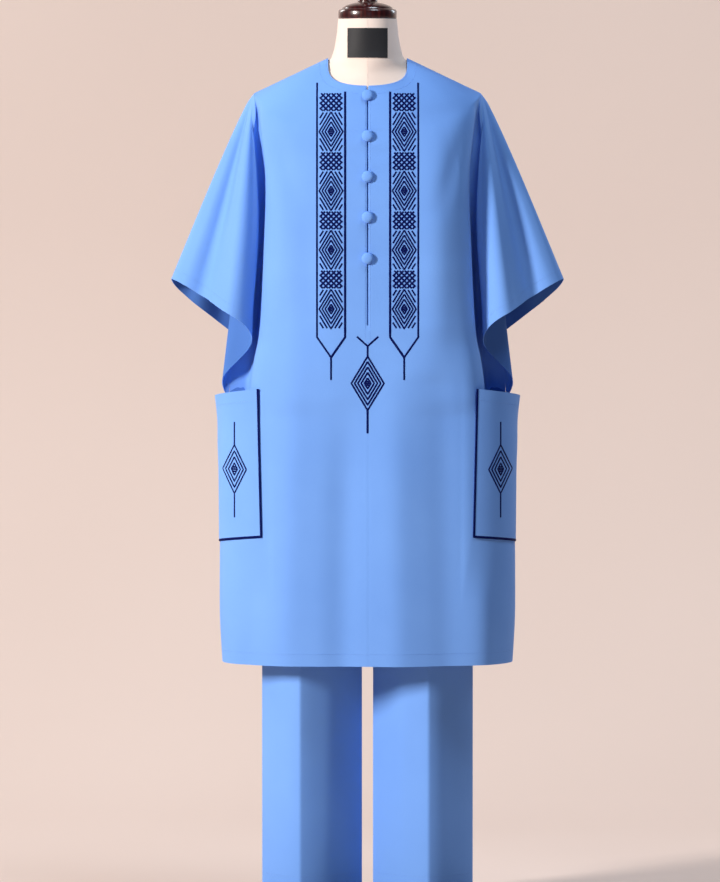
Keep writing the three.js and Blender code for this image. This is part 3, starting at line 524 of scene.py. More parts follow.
def sleeve(side, name):
    """A sleeve between the arch at the shoulder and the folded hem, with its fanned folds."""
    last = len(SLEEVE_HEM) - 1
    tip = next(k for k, p in enumerate(SLEEVE_HEM) if p[1] == 0) / last
    ridges, turns = [], []
    for way in WAY.values():
        on_face = [k for k, p in enumerate(SLEEVE_HEM) if p[1] * way > 0]
        ridges.append(max(on_face, key=lambda k: SLEEVE_HEM[k][1] * way) / last)
        turns.append(min(on_face, key=lambda k: SLEEVE_HEM[k][0]) / last)
    shares = np.linspace(0, 1, SLEEVE_COLUMNS + 1)
    hem = spline(SLEEVE_HEM, shares)
    ridge_points = spline(SLEEVE_HEM, ridges)
    grid = []
    for r in SLEEVE_ROWS:
        row = []
        for a, at in zip(shares, hem):
            k = 0 if a < tip else 1
            to_tip = a / tip if k == 0 else (1 - a) / (1 - tip)
            to_ridge = a / ridges[0] if k == 0 else (1 - a) / (1 - ridges[1])
            arch = np.array(arch_point(math.pi / 2 * (1 - to_tip))) * (1, 2 * k - 1, 1)
            arch[0] += SLEEVE_SET
            if to_ridge < 1:
                plain = mix(hem[-k], ridge_points[k], to_ridge)
                at = mix(at, plain, 1 - smooth(0, FOLD_OPEN_SHARE, r))
            point = mix(arch, at, r)
            near = clamp01(1 - abs(a - turns[k]) / FOLD_LEAN_SPREAD)
            point[0] -= FOLD_LEAN * math.sin(math.pi * r) ** 2 * smooth(0, 1, near)
            point[0] += SLEEVE_BULGE * math.sin(math.pi * math.sqrt(r)) * to_tip**2
            if k == 0:
                share = smooth(*FORWARD_FROM, a) * smooth(*FORWARD_TO, a)
                point[1] -= SLEEVE_FORWARD * math.sin(math.pi * r) * share
            row.append(point)
        grid.append(row)
    grid = refine(grid, 10, 5)
    outside = grid[:, :, :1] > SLEEVE_OUTSIDE_X
    normals = grid_normals(grid, outside * np.array((1, 0, 0)))
    a = np.linspace(0, 1, grid.shape[1])[None, :]
    rows = np.linspace(0, 1, len(SLEEVE_ROWS))
    r = np.interp(np.linspace(0, 1, grid.shape[0]), rows, SLEEVE_ROWS)[:, None]
    for around, from_r, to_r, width, rise in SLEEVE_FOLDS:
        along = np.sin(np.pi * np.clip((r - from_r) / (to_r - from_r), 0, 1))
        grid = grid + normals * (rise * along * np.exp(-(((a - around) / width) ** 2)))[:, :, None]
    return surface(name, grid * (side, 1, 1), CLOTH, outside * np.array((side, 0, 0)))


# Pockets
POCKET_GAP = 0.5
POCKET_WALL = 1.2
POCKET_TOP = {"inner_x": 194, "inner_z": 947, "outer_z": 932}
POCKET_BOTTOM = {"inner_x": 188, "inner_z": 682, "outer_z": 669}
POCKET_EDGE = {"z": [932, 880, 800, 669], "flare": [12, 7, 2.5, 0]}
POCKET_COLUMNS = 8
POCKET_ROWS = 6
LINE_SAMPLES = 60


def pocket(side, name):
    """A patch pocket on the side of the front, its mouth standing off at the side seam."""
    grid = []
    for i in range(POCKET_ROWS + 1):
        inner_x, inner_z, outer_z = (mix(POCKET_TOP[key], POCKET_BOTTOM[key], i / POCKET_ROWS)
                                     for key in ("inner_x", "inner_z", "outer_z"))
        line = []
        for t in np.linspace(0, 1, LINE_SAMPLES + 1):
            z = mix(inner_z, outer_z, t)
            half_width = column(SIDE_SEAM, "x", min(z, VALLEY_FADE_Z))
            x = half_width * math.sin(mix(math.asin(inner_x / half_width), math.pi / 2, t))
            line.append((x, -max(HALF_GAP, round_section(x, half_width, front_depth(z))), z))
        row = evenly(line, POCKET_COLUMNS)
        for k, p in enumerate(row):
            half_width = column(SIDE_SEAM, "x", min(p[2], VALLEY_FADE_Z))
            depth = front_depth(p[2])
            bend = SECTION_POWER - 1
            n = np.array([clamp01(p[0] / half_width) ** bend / half_width,
                          -(clamp01(-p[1] / depth) ** bend) / depth, 0])
            flare = column(POCKET_EDGE, "flare", p[2]) * (k / POCKET_COLUMNS) ** 1.5
            p += n / np.linalg.norm(n) * (POCKET_GAP + POCKET_WALL + flare)
            p[1] = min(p[1], -HALF_GAP)
        grid.append(row)
    grid = refine(grid, 12, 6)
    grid[:, :, 1] = np.minimum(grid[:, :, 1], -HALF_GAP)
    return surface(name, grid * (side, 1, 1), POCKET_WALL, FORWARD)


# Trousers
LEG_INNER_X = 10
LEG_CREASE_X = 115
CREASE_SHIFT = 6
LEG_OUTER_X = 190
LEG_DEPTH = 80
TROUSER_HEM_Z = 40
CROTCH_Z = 768
RISE_TOP_Z = 842
WAIST_Z = 1030
WAISTBAND_HEIGHT = 38
WAIST_GAP = 0.5
PANEL_EASE = 1.2
TROUSER_WALL = 1.6
TO_CREASE = 0.58
CREASE_SHARPNESS = 0.37
INNER_CLOSE_Z = 690
KNEE_UP_Z = 700
HIP_FOOT_Z = 900
HIP_EASE = 9
HIP_EASE_Z = 980


def leg_section(side, t, z):
    """A point of a leg's section, from the inner seam over the pressed crease to the outer seam."""
    if t < TO_CREASE:
        share, power = t / TO_CREASE, 0.9
        edge = mix(LEG_INNER_X, HALF_GAP, smooth(INNER_CLOSE_Z, CROTCH_Z, z))
    else:
        share, edge, power = (1 - t) / (1 - TO_CREASE), LEG_OUTER_X, 0.8
    rise = math.sin(CREASE_SHARPNESS * math.pi * share) / math.sin(CREASE_SHARPNESS * math.pi)
    return mix(edge, LEG_CREASE_X - side * CREASE_SHIFT, share), LEG_DEPTH * rise**power


def hip_section(t, face, z):
    clear = HIP_EASE * smooth(WAIST_Z, HIP_EASE_Z, z) + WAIST_GAP + TROUSER_WALL + PANEL_EASE
    half_width, depth = (column(FORM, key, max(z, HIP_FOOT_Z)) + clear for key in ("side", face))
    x = half_width * math.sin(t * math.pi / 2)
    return max(HALF_GAP, x), round_section(x, half_width, depth, 2)


def trouser_panel(side, face, name):
    """One of the four trouser panels, from the hem past the crotch to the waist."""
    grid = []
    for z in [*np.linspace(TROUSER_HEM_Z, KNEE_UP_Z, 41)[:-1], *np.linspace(KNEE_UP_Z, WAIST_Z, 31)]:
        risen = smooth(CROTCH_Z, RISE_TOP_Z, z)
        row = []
        for t in np.linspace(0, 1, LINE_SAMPLES + 1):
            leg_x, leg_y = leg_section(side, t, z)
            hip_x, hip_y = hip_section(t, face, z)
            depth = max(HALF_GAP, mix(leg_y, hip_y, risen) + leg_wave(side, t, z))
            row.append((side * mix(leg_x, hip_x, risen), WAY[face] * depth, z))
        grid.append(row)
    return surface(name, np.array(grid), CLOTH, (0, WAY[face], 0))


# Slight waves of the legs beside the pressed crease: share across, height, how wide in shares,
# how tall and how high. They lie higher by the shift on the left leg and lower on the right.
LEG_WAVE_SHIFT = 24
LEG_WAVES = [
    (0.30, 330, 0.10, 210, 2.2),
    (0.80, 260, 0.08, 190, -2.0),
    (0.22, 120, 0.09, 90, -1.4),
    (0.76, 560, 0.09, 150, 1.8),
    (0.36, 600, 0.10, 130, -1.6),
]


def leg_wave(side, t, z):
    lift = 0
    for across, height, width, tall, rise in LEG_WAVES:
        up = z - height - LEG_WAVE_SHIFT * side
        lift += rise * math.exp(-(((t - across) / width) ** 2) - (up / tall) ** 2)
    return lift * smooth(0, 0.1, t) * smooth(0, 0.1, 1 - t)


def ring_row(side, front, back, power, z, count, grow=0):
    """One ring round the upright axis, with its own depth to the front and to the back."""
    turn = np.linspace(0, 2 * math.pi, count, endpoint=False)
    c, s = np.cos(turn), np.sin(turn)
    x = (side + grow) * np.sign(c) * np.abs(c) ** (2 / power)
    y = np.where(s < 0, front + grow, back + grow) * np.sign(s) * np.abs(s) ** (2 / power)
    return np.stack([x, y, np.full(count, float(z))], axis=1)


def solid_rings(name, rings, crisp=None):
    """A closed body through rings of points, in millimetres, its ends closed by fans."""
    rings = np.array(rings, float)
    count = rings.shape[1]
    faces = [face for _, _, face in quads(len(rings), count, closed=True)]
    points = rings.reshape(-1, 3).tolist()
    for ring, way in ((0, -1), (len(rings) - 1, 1)):
        middle = len(points)
        points.append(rings[ring].mean(axis=0).tolist())
        for j in range(count):
            a, b = ring * count + j, ring * count + (j + 1) % count
            faces.append((a, b, middle) if way > 0 else (b, a, middle))
    if rings[0, :, 2].mean() > rings[-1, :, 2].mean():
        faces = [f[::-1] for f in faces]
    return add_piece(name, points, faces, crisp)


# Waistband and the strip behind the slit
RING_COLUMNS = 96
PLACKET_WIDTH = 34
PLACKET_HEAD_Z = 1476
PLACKET_FOOT_Z = 1030
PLACKET_BACK = 2.4
PLACKET_CURVE = 0.0016
WAISTBAND_ROLL = 0.7
WAIST_RING = {"side": 143, "front": 95, "back": 88, "power": 2}


def waistband():
    clear = WAIST_GAP + TROUSER_WALL
    grid = np.array([ring_row(**WAIST_RING, z=z, count=RING_COLUMNS, grow=clear)
                     for z in np.linspace(WAIST_Z + WAISTBAND_HEIGHT, WAIST_Z + 0.2, 12)])
    outward = grid * (1, 1, 0)
    roll = WAISTBAND_ROLL * np.sin(np.linspace(0, math.pi, 12))[:, None, None]
    grid += roll * outward / np.linalg.norm(outward, axis=2, keepdims=True)
    return surface("trouser_waistband_cloth", grid, CLOTH, outward, closed=True)


def front_slope(z, reach):
    """How the front of the tunic leans, measured over a reach to both sides."""
    return (front_depth(z - reach) - front_depth(z + reach)) / (2 * reach)


def placket():
    grid = []
    for z in np.linspace(PLACKET_HEAD_Z, PLACKET_FOOT_Z, 90):
        y = PLACKET_BACK * math.hypot(1, front_slope(z, 5)) - front_depth(z)
        grid.append([(x, y + PLACKET_CURVE * x * x, z)
                     for x in np.linspace(-PLACKET_WIDTH / 2, PLACKET_WIDTH / 2, 9)])
    return surface("placket_cloth", np.array(grid), 1.0, FORWARD)


# Buttons: covered domes, with the cloth drawn in under the rim. The profile is in shares of
# the radius and of the rise.
BUTTON_RADIUS = 10.5
BUTTON_RISE = 8
BUTTON_GAP = 0.45
BUTTON_HEIGHTS = [1469, 1397, 1325, 1253, 1180]
BUTTON_GATHERS = 26
BUTTON_COLUMNS = 52
BUTTON_PROFILE = [(0.42, 0.02), (0.70, 0.03), (0.86, 0.10), (0.96, 0.20), (1.0, 0.32), (0.985, 0.44),
                  (0.93, 0.60), (0.84, 0.74), (0.72, 0.85), (0.56, 0.93), (0.38, 0.98), (0.2, 1.0),
                  (0.06, 1.0)]


def button(number, z):
    lean = math.atan(front_slope(z, 8))
    foot = -front_depth(z) - BUTTON_GAP
    rings = []
    for radius, rise in BUTTON_PROFILE:
        ring = []
        for turn in np.linspace(0, 2 * math.pi, BUTTON_COLUMNS, endpoint=False):
            gather = 1 + 0.014 * math.sin(BUTTON_GATHERS * turn) * clamp01((0.4 - rise) * 4)
            r = BUTTON_RADIUS * radius * gather
            out = BUTTON_RISE * rise
            up = r * math.sin(turn)
            ring.append((r * math.cos(turn), foot - out * math.cos(lean) + up * math.sin(lean),
                         z + up * math.cos(lean) + out * math.sin(lean)))
        rings.append(ring)
    return solid_rings(f"button_{number}_dome", rings)


# Dress form
FORM_FOOT_Z = 856
FORM_SEAM_WIDTH = 1.1
FORM_SEAM_RISE = 0.35


def form_torso():
    rings = []
    for z in [*np.linspace(1607, 1474, 60), *np.linspace(1470, FORM_FOOT_Z, 70)]:
        values = [column(FORM, key, z) for key in ("side", "front", "back", "power")]
        rings.append(ring_row(*values, z, 128))
    return solid_rings("form_torso_body", rings, 60)


# Bare patch on the neck
LABEL_HALF_WIDTH = 36
LABEL_FOOT_Z = 1537
LABEL_HEAD_Z = 1590
LABEL_WALL = 0.8
LABEL_GAP = 0.6


def neck_patch():
    grid = []
    for z in np.linspace(LABEL_HEAD_Z, LABEL_FOOT_Z, 24):
        side, depth, power = (column(FORM, key, z) for key in ("side", "front", "power"))
        grid.append([(x, -round_section(abs(x), side, depth, power) - LABEL_GAP - LABEL_WALL, z)
                     for x in np.linspace(-LABEL_HALF_WIDTH, LABEL_HALF_WIDTH, 40)])
    return surface("neck_patch_cloth", np.array(grid), LABEL_WALL, FORWARD)


# Turned wood: radius and height of each bead and hollow
CAP_FOOT_Z = 1607.3
FINIAL_FOOT_Z = 1637.3
CAP_PROFILE = [(46, 0), (50.5, 0), (51.8, 0.9), (52.5, 2.6), (52.5, 13), (51.6, 15.4), (49.6, 16.8),
               (46.4, 17.4), (45.4, 18.2), (45.0, 19.4), (43.2, 21.2), (39.5, 23.4), (33, 26),
               (26, 27.9), (21, 28.8), (18.4, 29.4), (10, 29.4)]
FINIAL_PROFILE = [(14, 0), (17.4, 0.3), (18, 1.4), (18, 3), (17, 4.4), (14.8, 6.2), (13.8, 8.4),
                  (12.8, 13), (12.2, 18), (12.2, 22), (13.0, 27), (14.6, 31), (17.4, 36), (19.2, 40),
                  (19.8, 44), (19.3, 48), (17.4, 52.5), (14.2, 57.5), (10, 61.8), (6, 64), (2, 64.6)]


def turned(name, profile, foot_z):
    rings = [ring_row(r, r, r, 2, foot_z + h, RING_COLUMNS) for r, h in profile]
    return solid_rings(name, rings, 50)


# Stand
PLATE_X, PLATE_Y, PLATE_Z, PLATE_CORNER = 460, 340, 10, 60
PLATE_EDGE = ((1.6, 0), (0, 1.2), (0, 7.6), (0.5, 9), (1.6, PLATE_Z))
JOINT_GAP = 0.3
ROD_RADIUS = 11
ROD_X = 100


def plate():
    rings = []
    for inset, z in PLATE_EDGE:
        ring = []
        r = PLATE_CORNER - inset
        for k, (way_x, way_y) in enumerate(((1, 1), (-1, 1), (-1, -1), (1, -1))):
            for turn in np.linspace(k, k + 1, 13) * math.pi / 2:
                ring.append((way_x * (PLATE_X / 2 - PLATE_CORNER) + r * math.cos(turn),
                             way_y * (PLATE_Y / 2 - PLATE_CORNER) + r * math.sin(turn), z))
        rings.append(ring)
    return solid_rings("stand_plate", rings, 40)


def rod(side, name):
    foot, head = PLATE_Z + JOINT_GAP, FORM_FOOT_Z - JOINT_GAP
    ends = ((ROD_RADIUS - 1, foot), (ROD_RADIUS, foot + 1), (ROD_RADIUS, head - 1), (ROD_RADIUS - 1, head))
    rings = [ring_row(r, r, r, 2, z, 48) + (side * ROD_X, 0, 0) for r, z in ends]
    return solid_rings(name, rings, 40)


# Thread: raised strips that lie on a piece of cloth. Their section is in shares of width and rise.
THREAD_SECTION = [(-0.5, -0.25), (-0.42, 0.55), (0, 1), (0.42, 0.55), (0.5, -0.25)]
THREAD_RISE = 0.75
THREAD_STEP = 2.2
STITCH_LENGTH = 2.7
STITCH_PITCH = 3.8
STITCH_WIDTH = 0.75
STITCH_RISE = 0.34


def unit(vectors):
    return vectors / np.maximum(np.linalg.norm(vectors, axis=1, keepdims=True), 1e-9)


class Thread:
    """Collects raised strips of thread and makes one mesh of them."""

    def __init__(self, piece=None):
        self.tree = tree_of(piece) if piece else None
        self.points, self.faces, self.uvs = [], [], []

    def strip(self, path, normals, width, rise=THREAD_RISE):
        """A satin strip along points on the cloth, domed across."""
        path, normals = np.array(path, float), np.array(normals, float)
        across = unit(np.cross(unit(np.gradient(path, axis=0)), normals))
        run = run_along(path)
        base, wide = len(self.points), len(THREAD_SECTION)
        for k, point in enumerate(path):
            for share, height in THREAD_SECTION:
                self.points.append(point + across[k] * share * width + normals[k] * height * rise)
                self.uvs.append((share * width, run[k]))
        for _, _, face in quads(len(path), wide, closed=True):
            self.faces.append(tuple(base + corner for corner in (face[0], face[3], face[2], face[1])))
        end = base + (len(path) - 1) * wide
        self.faces.append(tuple(range(base, base + wide)))
        self.faces.append(tuple(range(end + wide - 1, end - 1, -1)))

    def sew(self, corners, width, rise=THREAD_RISE):
        """A satin line on the cloth through corners given in the front view."""
        found = [on_cloth(self.tree, x, z) for x, z in flat_path(corners)]
        found = [f for f in found if f]
        if len(found) > 1:
            self.strip(*zip(*found), width, rise)

    def stitches(self, tree, path, outward):
        """A row of short stitches along a line on a cloth piece, with its outward way."""
        path = np.array(path, float)
        outward = np.broadcast_to(outward, path.shape)
        run = run_along(path)
        for k in range(int(run[-1] / STITCH_PITCH)):
            ways = [(k + 0.15) * STITCH_PITCH + share * STITCH_LENGTH for share in (0, 0.5, 1)]
            dash = [near_cloth(tree, at_way(way, run, path), at_way(way, run, outward)) for way in ways]
            if np.linalg.norm(dash[2][0] - dash[0][0]) > 0.5 * STITCH_LENGTH:
                self.strip(*zip(*dash), STITCH_WIDTH, STITCH_RISE)

    def piece(self, name):
        piece = add_piece(name, self.points, self.faces, 70)
        lay_flat(piece.data, "thread", self.uvs)
        return piece


def tree_of(piece):
    """Ray tree of a piece's outer face, in metres."""
    mesh = piece.data
    return BVHTree.FromPolygons([v.co[:] for v in mesh.vertices], [p.vertices[:] for p in mesh.polygons])


def on_cloth(tree, x, z):
    """Point and normal on a cloth piece, straight behind a place in the front view."""
    hit, normal, _, _ = tree.ray_cast(Vector((x * MM, -1, z * MM)), Vector((0, 1, 0)))
    if hit is None:
        return None
    normal = np.array(normal)
    return np.array(hit) / MM, -normal if normal[1] > 0 else normal


def near_cloth(tree, point, outward):
    """Point and normal of a cloth piece nearest to a point."""
    hit, normal, _, _ = tree.find_nearest(Vector([c * MM for c in point]))
    normal = np.array(normal)
    return np.array(hit) / MM, -normal if normal @ outward < 0 else normal


def flat_path(corners):
    """Points every couple of millimetres along straight stretches of the front view."""
    out = []
    for (ax, az), (bx, bz) in zip(corners, corners[1:]):
        count = max(1, math.ceil(math.hypot(bx - ax, bz - az) / THREAD_STEP))
        out += [(mix(ax, bx, k / count), mix(az, bz, k / count)) for k in range(count)]
    return out + [corners[-1]]


def nested_diamond(thread, x, z, half_width, half_height, lines, width):
    """Diamonds one inside the other round a small filled one."""
    for k in range(lines):
        w, h = half_width * (1 - k / lines), half_height * (1 - k / lines)
        corners = [(x, z + h), (x + w, z), (x, z - h), (x - w, z), (x, z + h)]
        thread.sew(corners, width, THREAD_RISE + 0.04 * (k % 2))
    for k in (-1, 0, 1):
        core = half_width / lines * (1 - abs(k) * 0.5)
        up = z + k * half_height / lines * 0.35
        thread.sew([(x - core, up), (x + core, up)], width)


def lattice(thread, low, high):
    """Two sets of slanting lines crossing inside an upright box of the front view."""
    (x0, z0), (x1, z1) = low, high
    for start, way, lift in ((x0, 1, 0.06), (x1, -1, 0)):
        offset = z0 - z1
        while offset < x1 - x0:
            a, b = max(0, offset), min(x1 - x0, offset + z1 - z0)
            if b - a > LATTICE_WIDTH:
                line = [(start + way * s, z0 + s - offset) for s in (a, b)]
                thread.sew(line, LATTICE_WIDTH, THREAD_RISE + lift)
            offset += LATTICE_PITCH


# Embroidery, generic: on each side of the chest two rails with nested diamonds and lattice
# between them, a pendant at the foot of the slit and a motif on each pocket.
RAIL_INNER_X = 40
RAIL_OUTER_X = 90
RAIL_INNER_TOP_Z = 1476
RAIL_OUTER_TOP_Z = 1492
RAIL_FOOT_Z = 1040
BAND_POINT_Z = 1004
BAND_TAIL_Z = 964
BAND_MIDDLE_X = (RAIL_INNER_X + RAIL_OUTER_X) / 2
RAIL_INNER_WIDTH = 4.4
RAIL_OUTER_WIDTH = 3.6
DIAMOND_HEIGHT = 70
LATTICE_HEIGHT = 31
LATTICE_PITCH = 9.4
LATTICE_WIDTH = 3.5
CHEVRON_STEP = 12
POCKET_MOTIF_X = 238
POCKET_MOTIF_Z = 802.5
POCKET_LINE_WIDTH = 4.6
POCKET_DIAMOND = (21.5, 43.5)
PENDANT_DIAMOND = (29, 48)
PENDANT_Z = 958
PLAIN_WIDTH = 3.6
TAIL_WIDTH = 4.2
CHEVRON_WIDTH = 3.2


def chest_band(thread, side):
    """One side of the chest: two rails with panels between them, a point and a tail at the foot."""
    middle = side * BAND_MIDDLE_X
    point = (middle, BAND_POINT_Z)
    inner, outer = side * RAIL_INNER_X, side * RAIL_OUTER_X
    thread.sew([(inner, RAIL_INNER_TOP_Z), (inner, RAIL_FOOT_Z), point], RAIL_INNER_WIDTH)
    thread.sew([(outer, RAIL_OUTER_TOP_Z), (outer, RAIL_FOOT_Z), point, (middle, BAND_TAIL_Z)],
               RAIL_OUTER_WIDTH)
    half = (RAIL_OUTER_X - RAIL_INNER_X) / 2 - 5
    tall = DIAMOND_HEIGHT / 2
    z = RAIL_INNER_TOP_Z - 3
    while z - LATTICE_HEIGHT > RAIL_FOOT_Z:
        lattice(thread, (middle - half, z - LATTICE_HEIGHT), (middle + half, z))
        z -= LATTICE_HEIGHT + 2
        if z - DIAMOND_HEIGHT < RAIL_FOOT_Z:
            break
        nested_diamond(thread, middle, z - tall, half + 1, tall, 4, 3.1)
        corner_chevrons(thread, middle, z - tall, half, tall)
        z -= DIAMOND_HEIGHT + 2


def corner_chevrons(thread, x, z, half, tall):
    """Lines beside a diamond, which fill the corners of its panel."""
    for across in (half, -half):
        for up in (1, -1):
            for drop in (CHEVRON_STEP, 2 * CHEVRON_STEP):
                thread.sew([(x + across, z + up * drop),
                            (x + across * drop / tall, z + up * (tall - 1))], CHEVRON_WIDTH)


def chest_embroidery(piece):
    thread = Thread(piece)
    for side in (1, -1):
        chest_band(thread, side)
    thread.sew([(-19, 1041), (0, 1024), (0, 1006)], PLAIN_WIDTH)
    thread.sew([(19, 1041), (0, 1024)], PLAIN_WIDTH)
    nested_diamond(thread, 0, PENDANT_Z, *PENDANT_DIAMOND, 5, 3.4)
    thread.sew([(0, 910), (0, 869)], TAIL_WIDTH)
    return thread.piece("chest_embroidery")


def pocket_embroidery(piece, side, name):
    """A diamond with a line above and below, and a line along two edges of the pocket."""
    thread = Thread(piece)
    grid = GRIDS[piece.name]
    for edge in (inset_row(grid.transpose(1, 0, 2), 1.5), inset_row(grid, 1.5, first=False)):
        found = [near_cloth(thread.tree, point, (0.6 * side, -1, 0)) for point in edge]
        thread.strip(*zip(*found), POCKET_LINE_WIDTH)
    x = side * POCKET_MOTIF_X
    nested_diamond(thread, x, POCKET_MOTIF_Z, *POCKET_DIAMOND, 4, 3.2)
    for line in ([(x, 887), (x, 846)], [(x, 759), (x, 716)]):
        thread.sew(line, PLAIN_WIDTH)
    return thread.piece(name)


# Topstitching: how far in from each edge, in millimetres
EDGE_INSET = 2.5
FACING_INSET = 17
SLEEVE_INSET = 18
POCKET_INSET = 20
TUNIC_INSET = 22
TROUSER_INSET = 30
SLIT_STITCH_X = 4.4
SLIT_STITCH_Z = (1484, 1034, 1030)


def inset_row(grid, inset, first=True):
    """Points a distance in from the first or last row of a grid, one on each column."""
    lines = grid if first else grid[::-1]
    return np.array([at_way(inset, run_along(lines[:, j]), lines[:, j]) for j in range(grid.shape[1])])


def all_stitching(cloth):
    """Topstitching of the neckline, slit, hems, seams and pockets."""
    thread = Thread()
    back, up = np.array((0, 1, 0)), np.array((0, 0, 1))
    trees = {node: tree_of(piece) for node, piece in cloth.items()}
    grids = {node: GRIDS[piece.name] for node, piece in cloth.items()}

    def stitch(node, path, outward):
        thread.stitches(trees[node], path, outward)

    grid = grids["tunic_front"]
    middle = grid.shape[1] // 2
    for inset, clear in ((EDGE_INSET, 4), (FACING_INSET, 5)):
        for half in (grid[:, :middle], grid[:, middle:][:, ::-1]):
            line = inset_row(half, inset)
            stitch("tunic_front", line[np.abs(line[:, 0]) > clear], 0.4 * up - back)
        stitch("tunic_back", inset_row(grids["tunic_back"], inset), back + up)
    head, foot, box = SLIT_STITCH_Z
    for x in (SLIT_STITCH_X, -SLIT_STITCH_X):
        line = [(x, -front_depth(z), z) for z in np.linspace(head, foot, 120)]
        stitch("tunic_front", line, -back)
    ends = [(x, -front_depth(box), box) for x in (-SLIT_STITCH_X, SLIT_STITCH_X)]
    stitch("tunic_front", ends, -back)
    for face, way in WAY.items():
        node = f"tunic_{face}"
        stitch(node, inset_row(grids[node], TUNIC_INSET, first=False), way * back)
        for label, _ in SIDES:
            node = f"trouser_{face}_{label}"
            stitch(node, inset_row(grids[node], TROUSER_INSET)[2:-2], way * back)
    for label, side in SIDES:
        node = f"sleeve_{label}"
        line = inset_row(grids[node], SLEEVE_INSET, first=False)[2:-2]
        stitch(node, line, hem_faces(line, grids[node]))
        node = f"pocket_{label}"
        stitch(node, inset_row(grids[node], POCKET_INSET), (0.6 * side, -1, 0))
    return thread.piece("topstitching")


def hem_faces(path, grid):
    """The outward way along a sleeve's hem, whose outer face turns with its folds."""
    faces = np.cross(np.gradient(path, axis=0), grid[-1, 2:-2] - grid[-4, 2:-2])
    middle = len(path) // 2
    out = path[middle] - (UNDERARM_X * np.sign(path[middle][0]), 0, path[middle][2])
    return faces * np.sign(faces[middle] @ out)


# Materials
def linear(code):
    """Scene colour of an sRGB hex code."""
    parts = [int(code[k:k + 2], 16) / 255 for k in (0, 2, 4)]
    return tuple(p / 12.92 if p <= 0.04045 else ((p + 0.055) / 1.055) ** 2.4 for p in parts) + (1.0,)


class Look:
    """A material and short calls for its nodes."""

    def __init__(self, name, **sockets):
        self.material = bpy.data.materials.new(name)
        self.material.use_nodes = True
        self.tree = self.material.node_tree
        self.shader = self.tree.nodes["Principled BSDF"]
        for key, value in sockets.items():
            self.shader.inputs[key.replace("_", " ").title().replace("Ior", "IOR")].default_value = value

    def node(self, kind, settings=(), **values):
        """A node with its sockets by name, or by number after the letter i."""
        node = self.tree.nodes.new(kind)
        for key, value in dict(settings).items():
            setattr(node, key, value)
        for key, value in values.items():
            socket = node.inputs[int(key[1:]) if key[1:].isdigit() else key.replace("_", " ")]
            if isinstance(value, bpy.types.NodeSocket):
                self.tree.links.new(value, socket)
            else:
                socket.default_value = value
        return node

    def link(self, out, name):
        self.tree.links.new(out, self.shader.inputs[name])

    def coordinates(self, kind="Object", scale=(1, 1, 1), turn=0.0):
        source = self.node("ShaderNodeTexCoord").outputs[kind]
        place = self.node("ShaderNodeMapping", Vector=source, Scale=scale, Rotation=(0, 0, turn))
        return place.outputs["Vector"]

    def noise(self, vector, scale, detail=4.0):
        return self.node("ShaderNodeTexNoise", Vector=vector, Scale=scale, Detail=detail).outputs["Fac"]

    def wave(self, vector, period, distortion=0.0, direction="X"):
        """Bands a period apart, in metres of the vector."""
        return self.node("ShaderNodeTexWave", {"bands_direction": direction}, Vector=vector,
                         Scale=0.314159 / period, Distortion=distortion).outputs["Fac"]

    def math(self, operation, a, b):
        return self.node("ShaderNodeMath", {"operation": operation}, i0=a, i1=b).outputs[0]

    def ramp(self, factor, low, high):
        return self.node("ShaderNodeMapRange", Value=factor, From_Min=low, From_Max=high).outputs["Result"]

    def mixed(self, factor, low, high):
        """Colour between two by a factor from 0 to 1, each a hex code or a socket."""
        low, high = (linear(c) if isinstance(c, str) else c for c in (low, high))
        return self.node("ShaderNodeMix", {"data_type": "RGBA"}, i0=factor, i6=low, i7=high).outputs[2]

    def finish(self, color, height=None, distance=0.0, strength=0.0):
        """The material with its colour and, where there is a height, its bump."""
        self.link(color, "Base Color")
        if height:
            bump = self.node("ShaderNodeBump", Height=height, Distance=distance, Strength=strength)
            self.link(bump.outputs["Normal"], "Normal")
        return self.material


def suiting(name, base, light, dark):
    """Smooth matte suiting: a fine twill, faint slubs and a soft sheen."""
    look = Look(name, roughness=0.75, specular_ior_level=0.12, sheen_weight=0.06, sheen_roughness=0.5,
                sheen_tint=(0.72, 0.84, 1.0, 1.0))
    place = look.coordinates()
    color = look.mixed(look.ramp(look.noise(place, 5.0, 3.0), 0.3, 0.7), dark, light)
    color = look.mixed(look.ramp(look.noise(place, 900.0, 2.0), 0.2, 0.8), color, base)
    flat = look.coordinates("UV", turn=math.radians(45))
    warp = look.math("MULTIPLY", look.wave(flat, 0.0011), 0.7)
    weft = look.math("MULTIPLY", look.wave(flat, 0.0016, direction="Y"), 0.3)
    slub = look.math("MULTIPLY", look.noise(look.coordinates("UV", scale=(1, 0.12, 1)), 700.0, 3.0), 0.8)
    return look.finish(color, look.math("ADD", look.math("ADD", warp, weft), slub), 0.00012, 0.35)


def satin_thread(name, base, light):
    """Embroidery thread, whose stitches lie across each strip."""
    look = Look(name, roughness=0.6, specular_ior_level=0.06)
    rows = look.wave(look.coordinates("UV", scale=(MM, MM, 1)), 0.00055, 0.6, "Y")
    tone = look.ramp(look.noise(look.coordinates("UV"), 0.9, 3.0), 0.25, 0.85)
    return look.finish(look.mixed(tone, base, light), rows, 0.00018, 0.6)


def sewing_thread(name, base, light):
    look = Look(name, roughness=0.55, specular_ior_level=0.35)
    twist = look.wave(look.coordinates("UV", scale=(MM, MM, 1), turn=0.6), 0.0005, 0.4)
    return look.finish(look.mixed(twist, base, light), twist, 0.00008, 0.5)


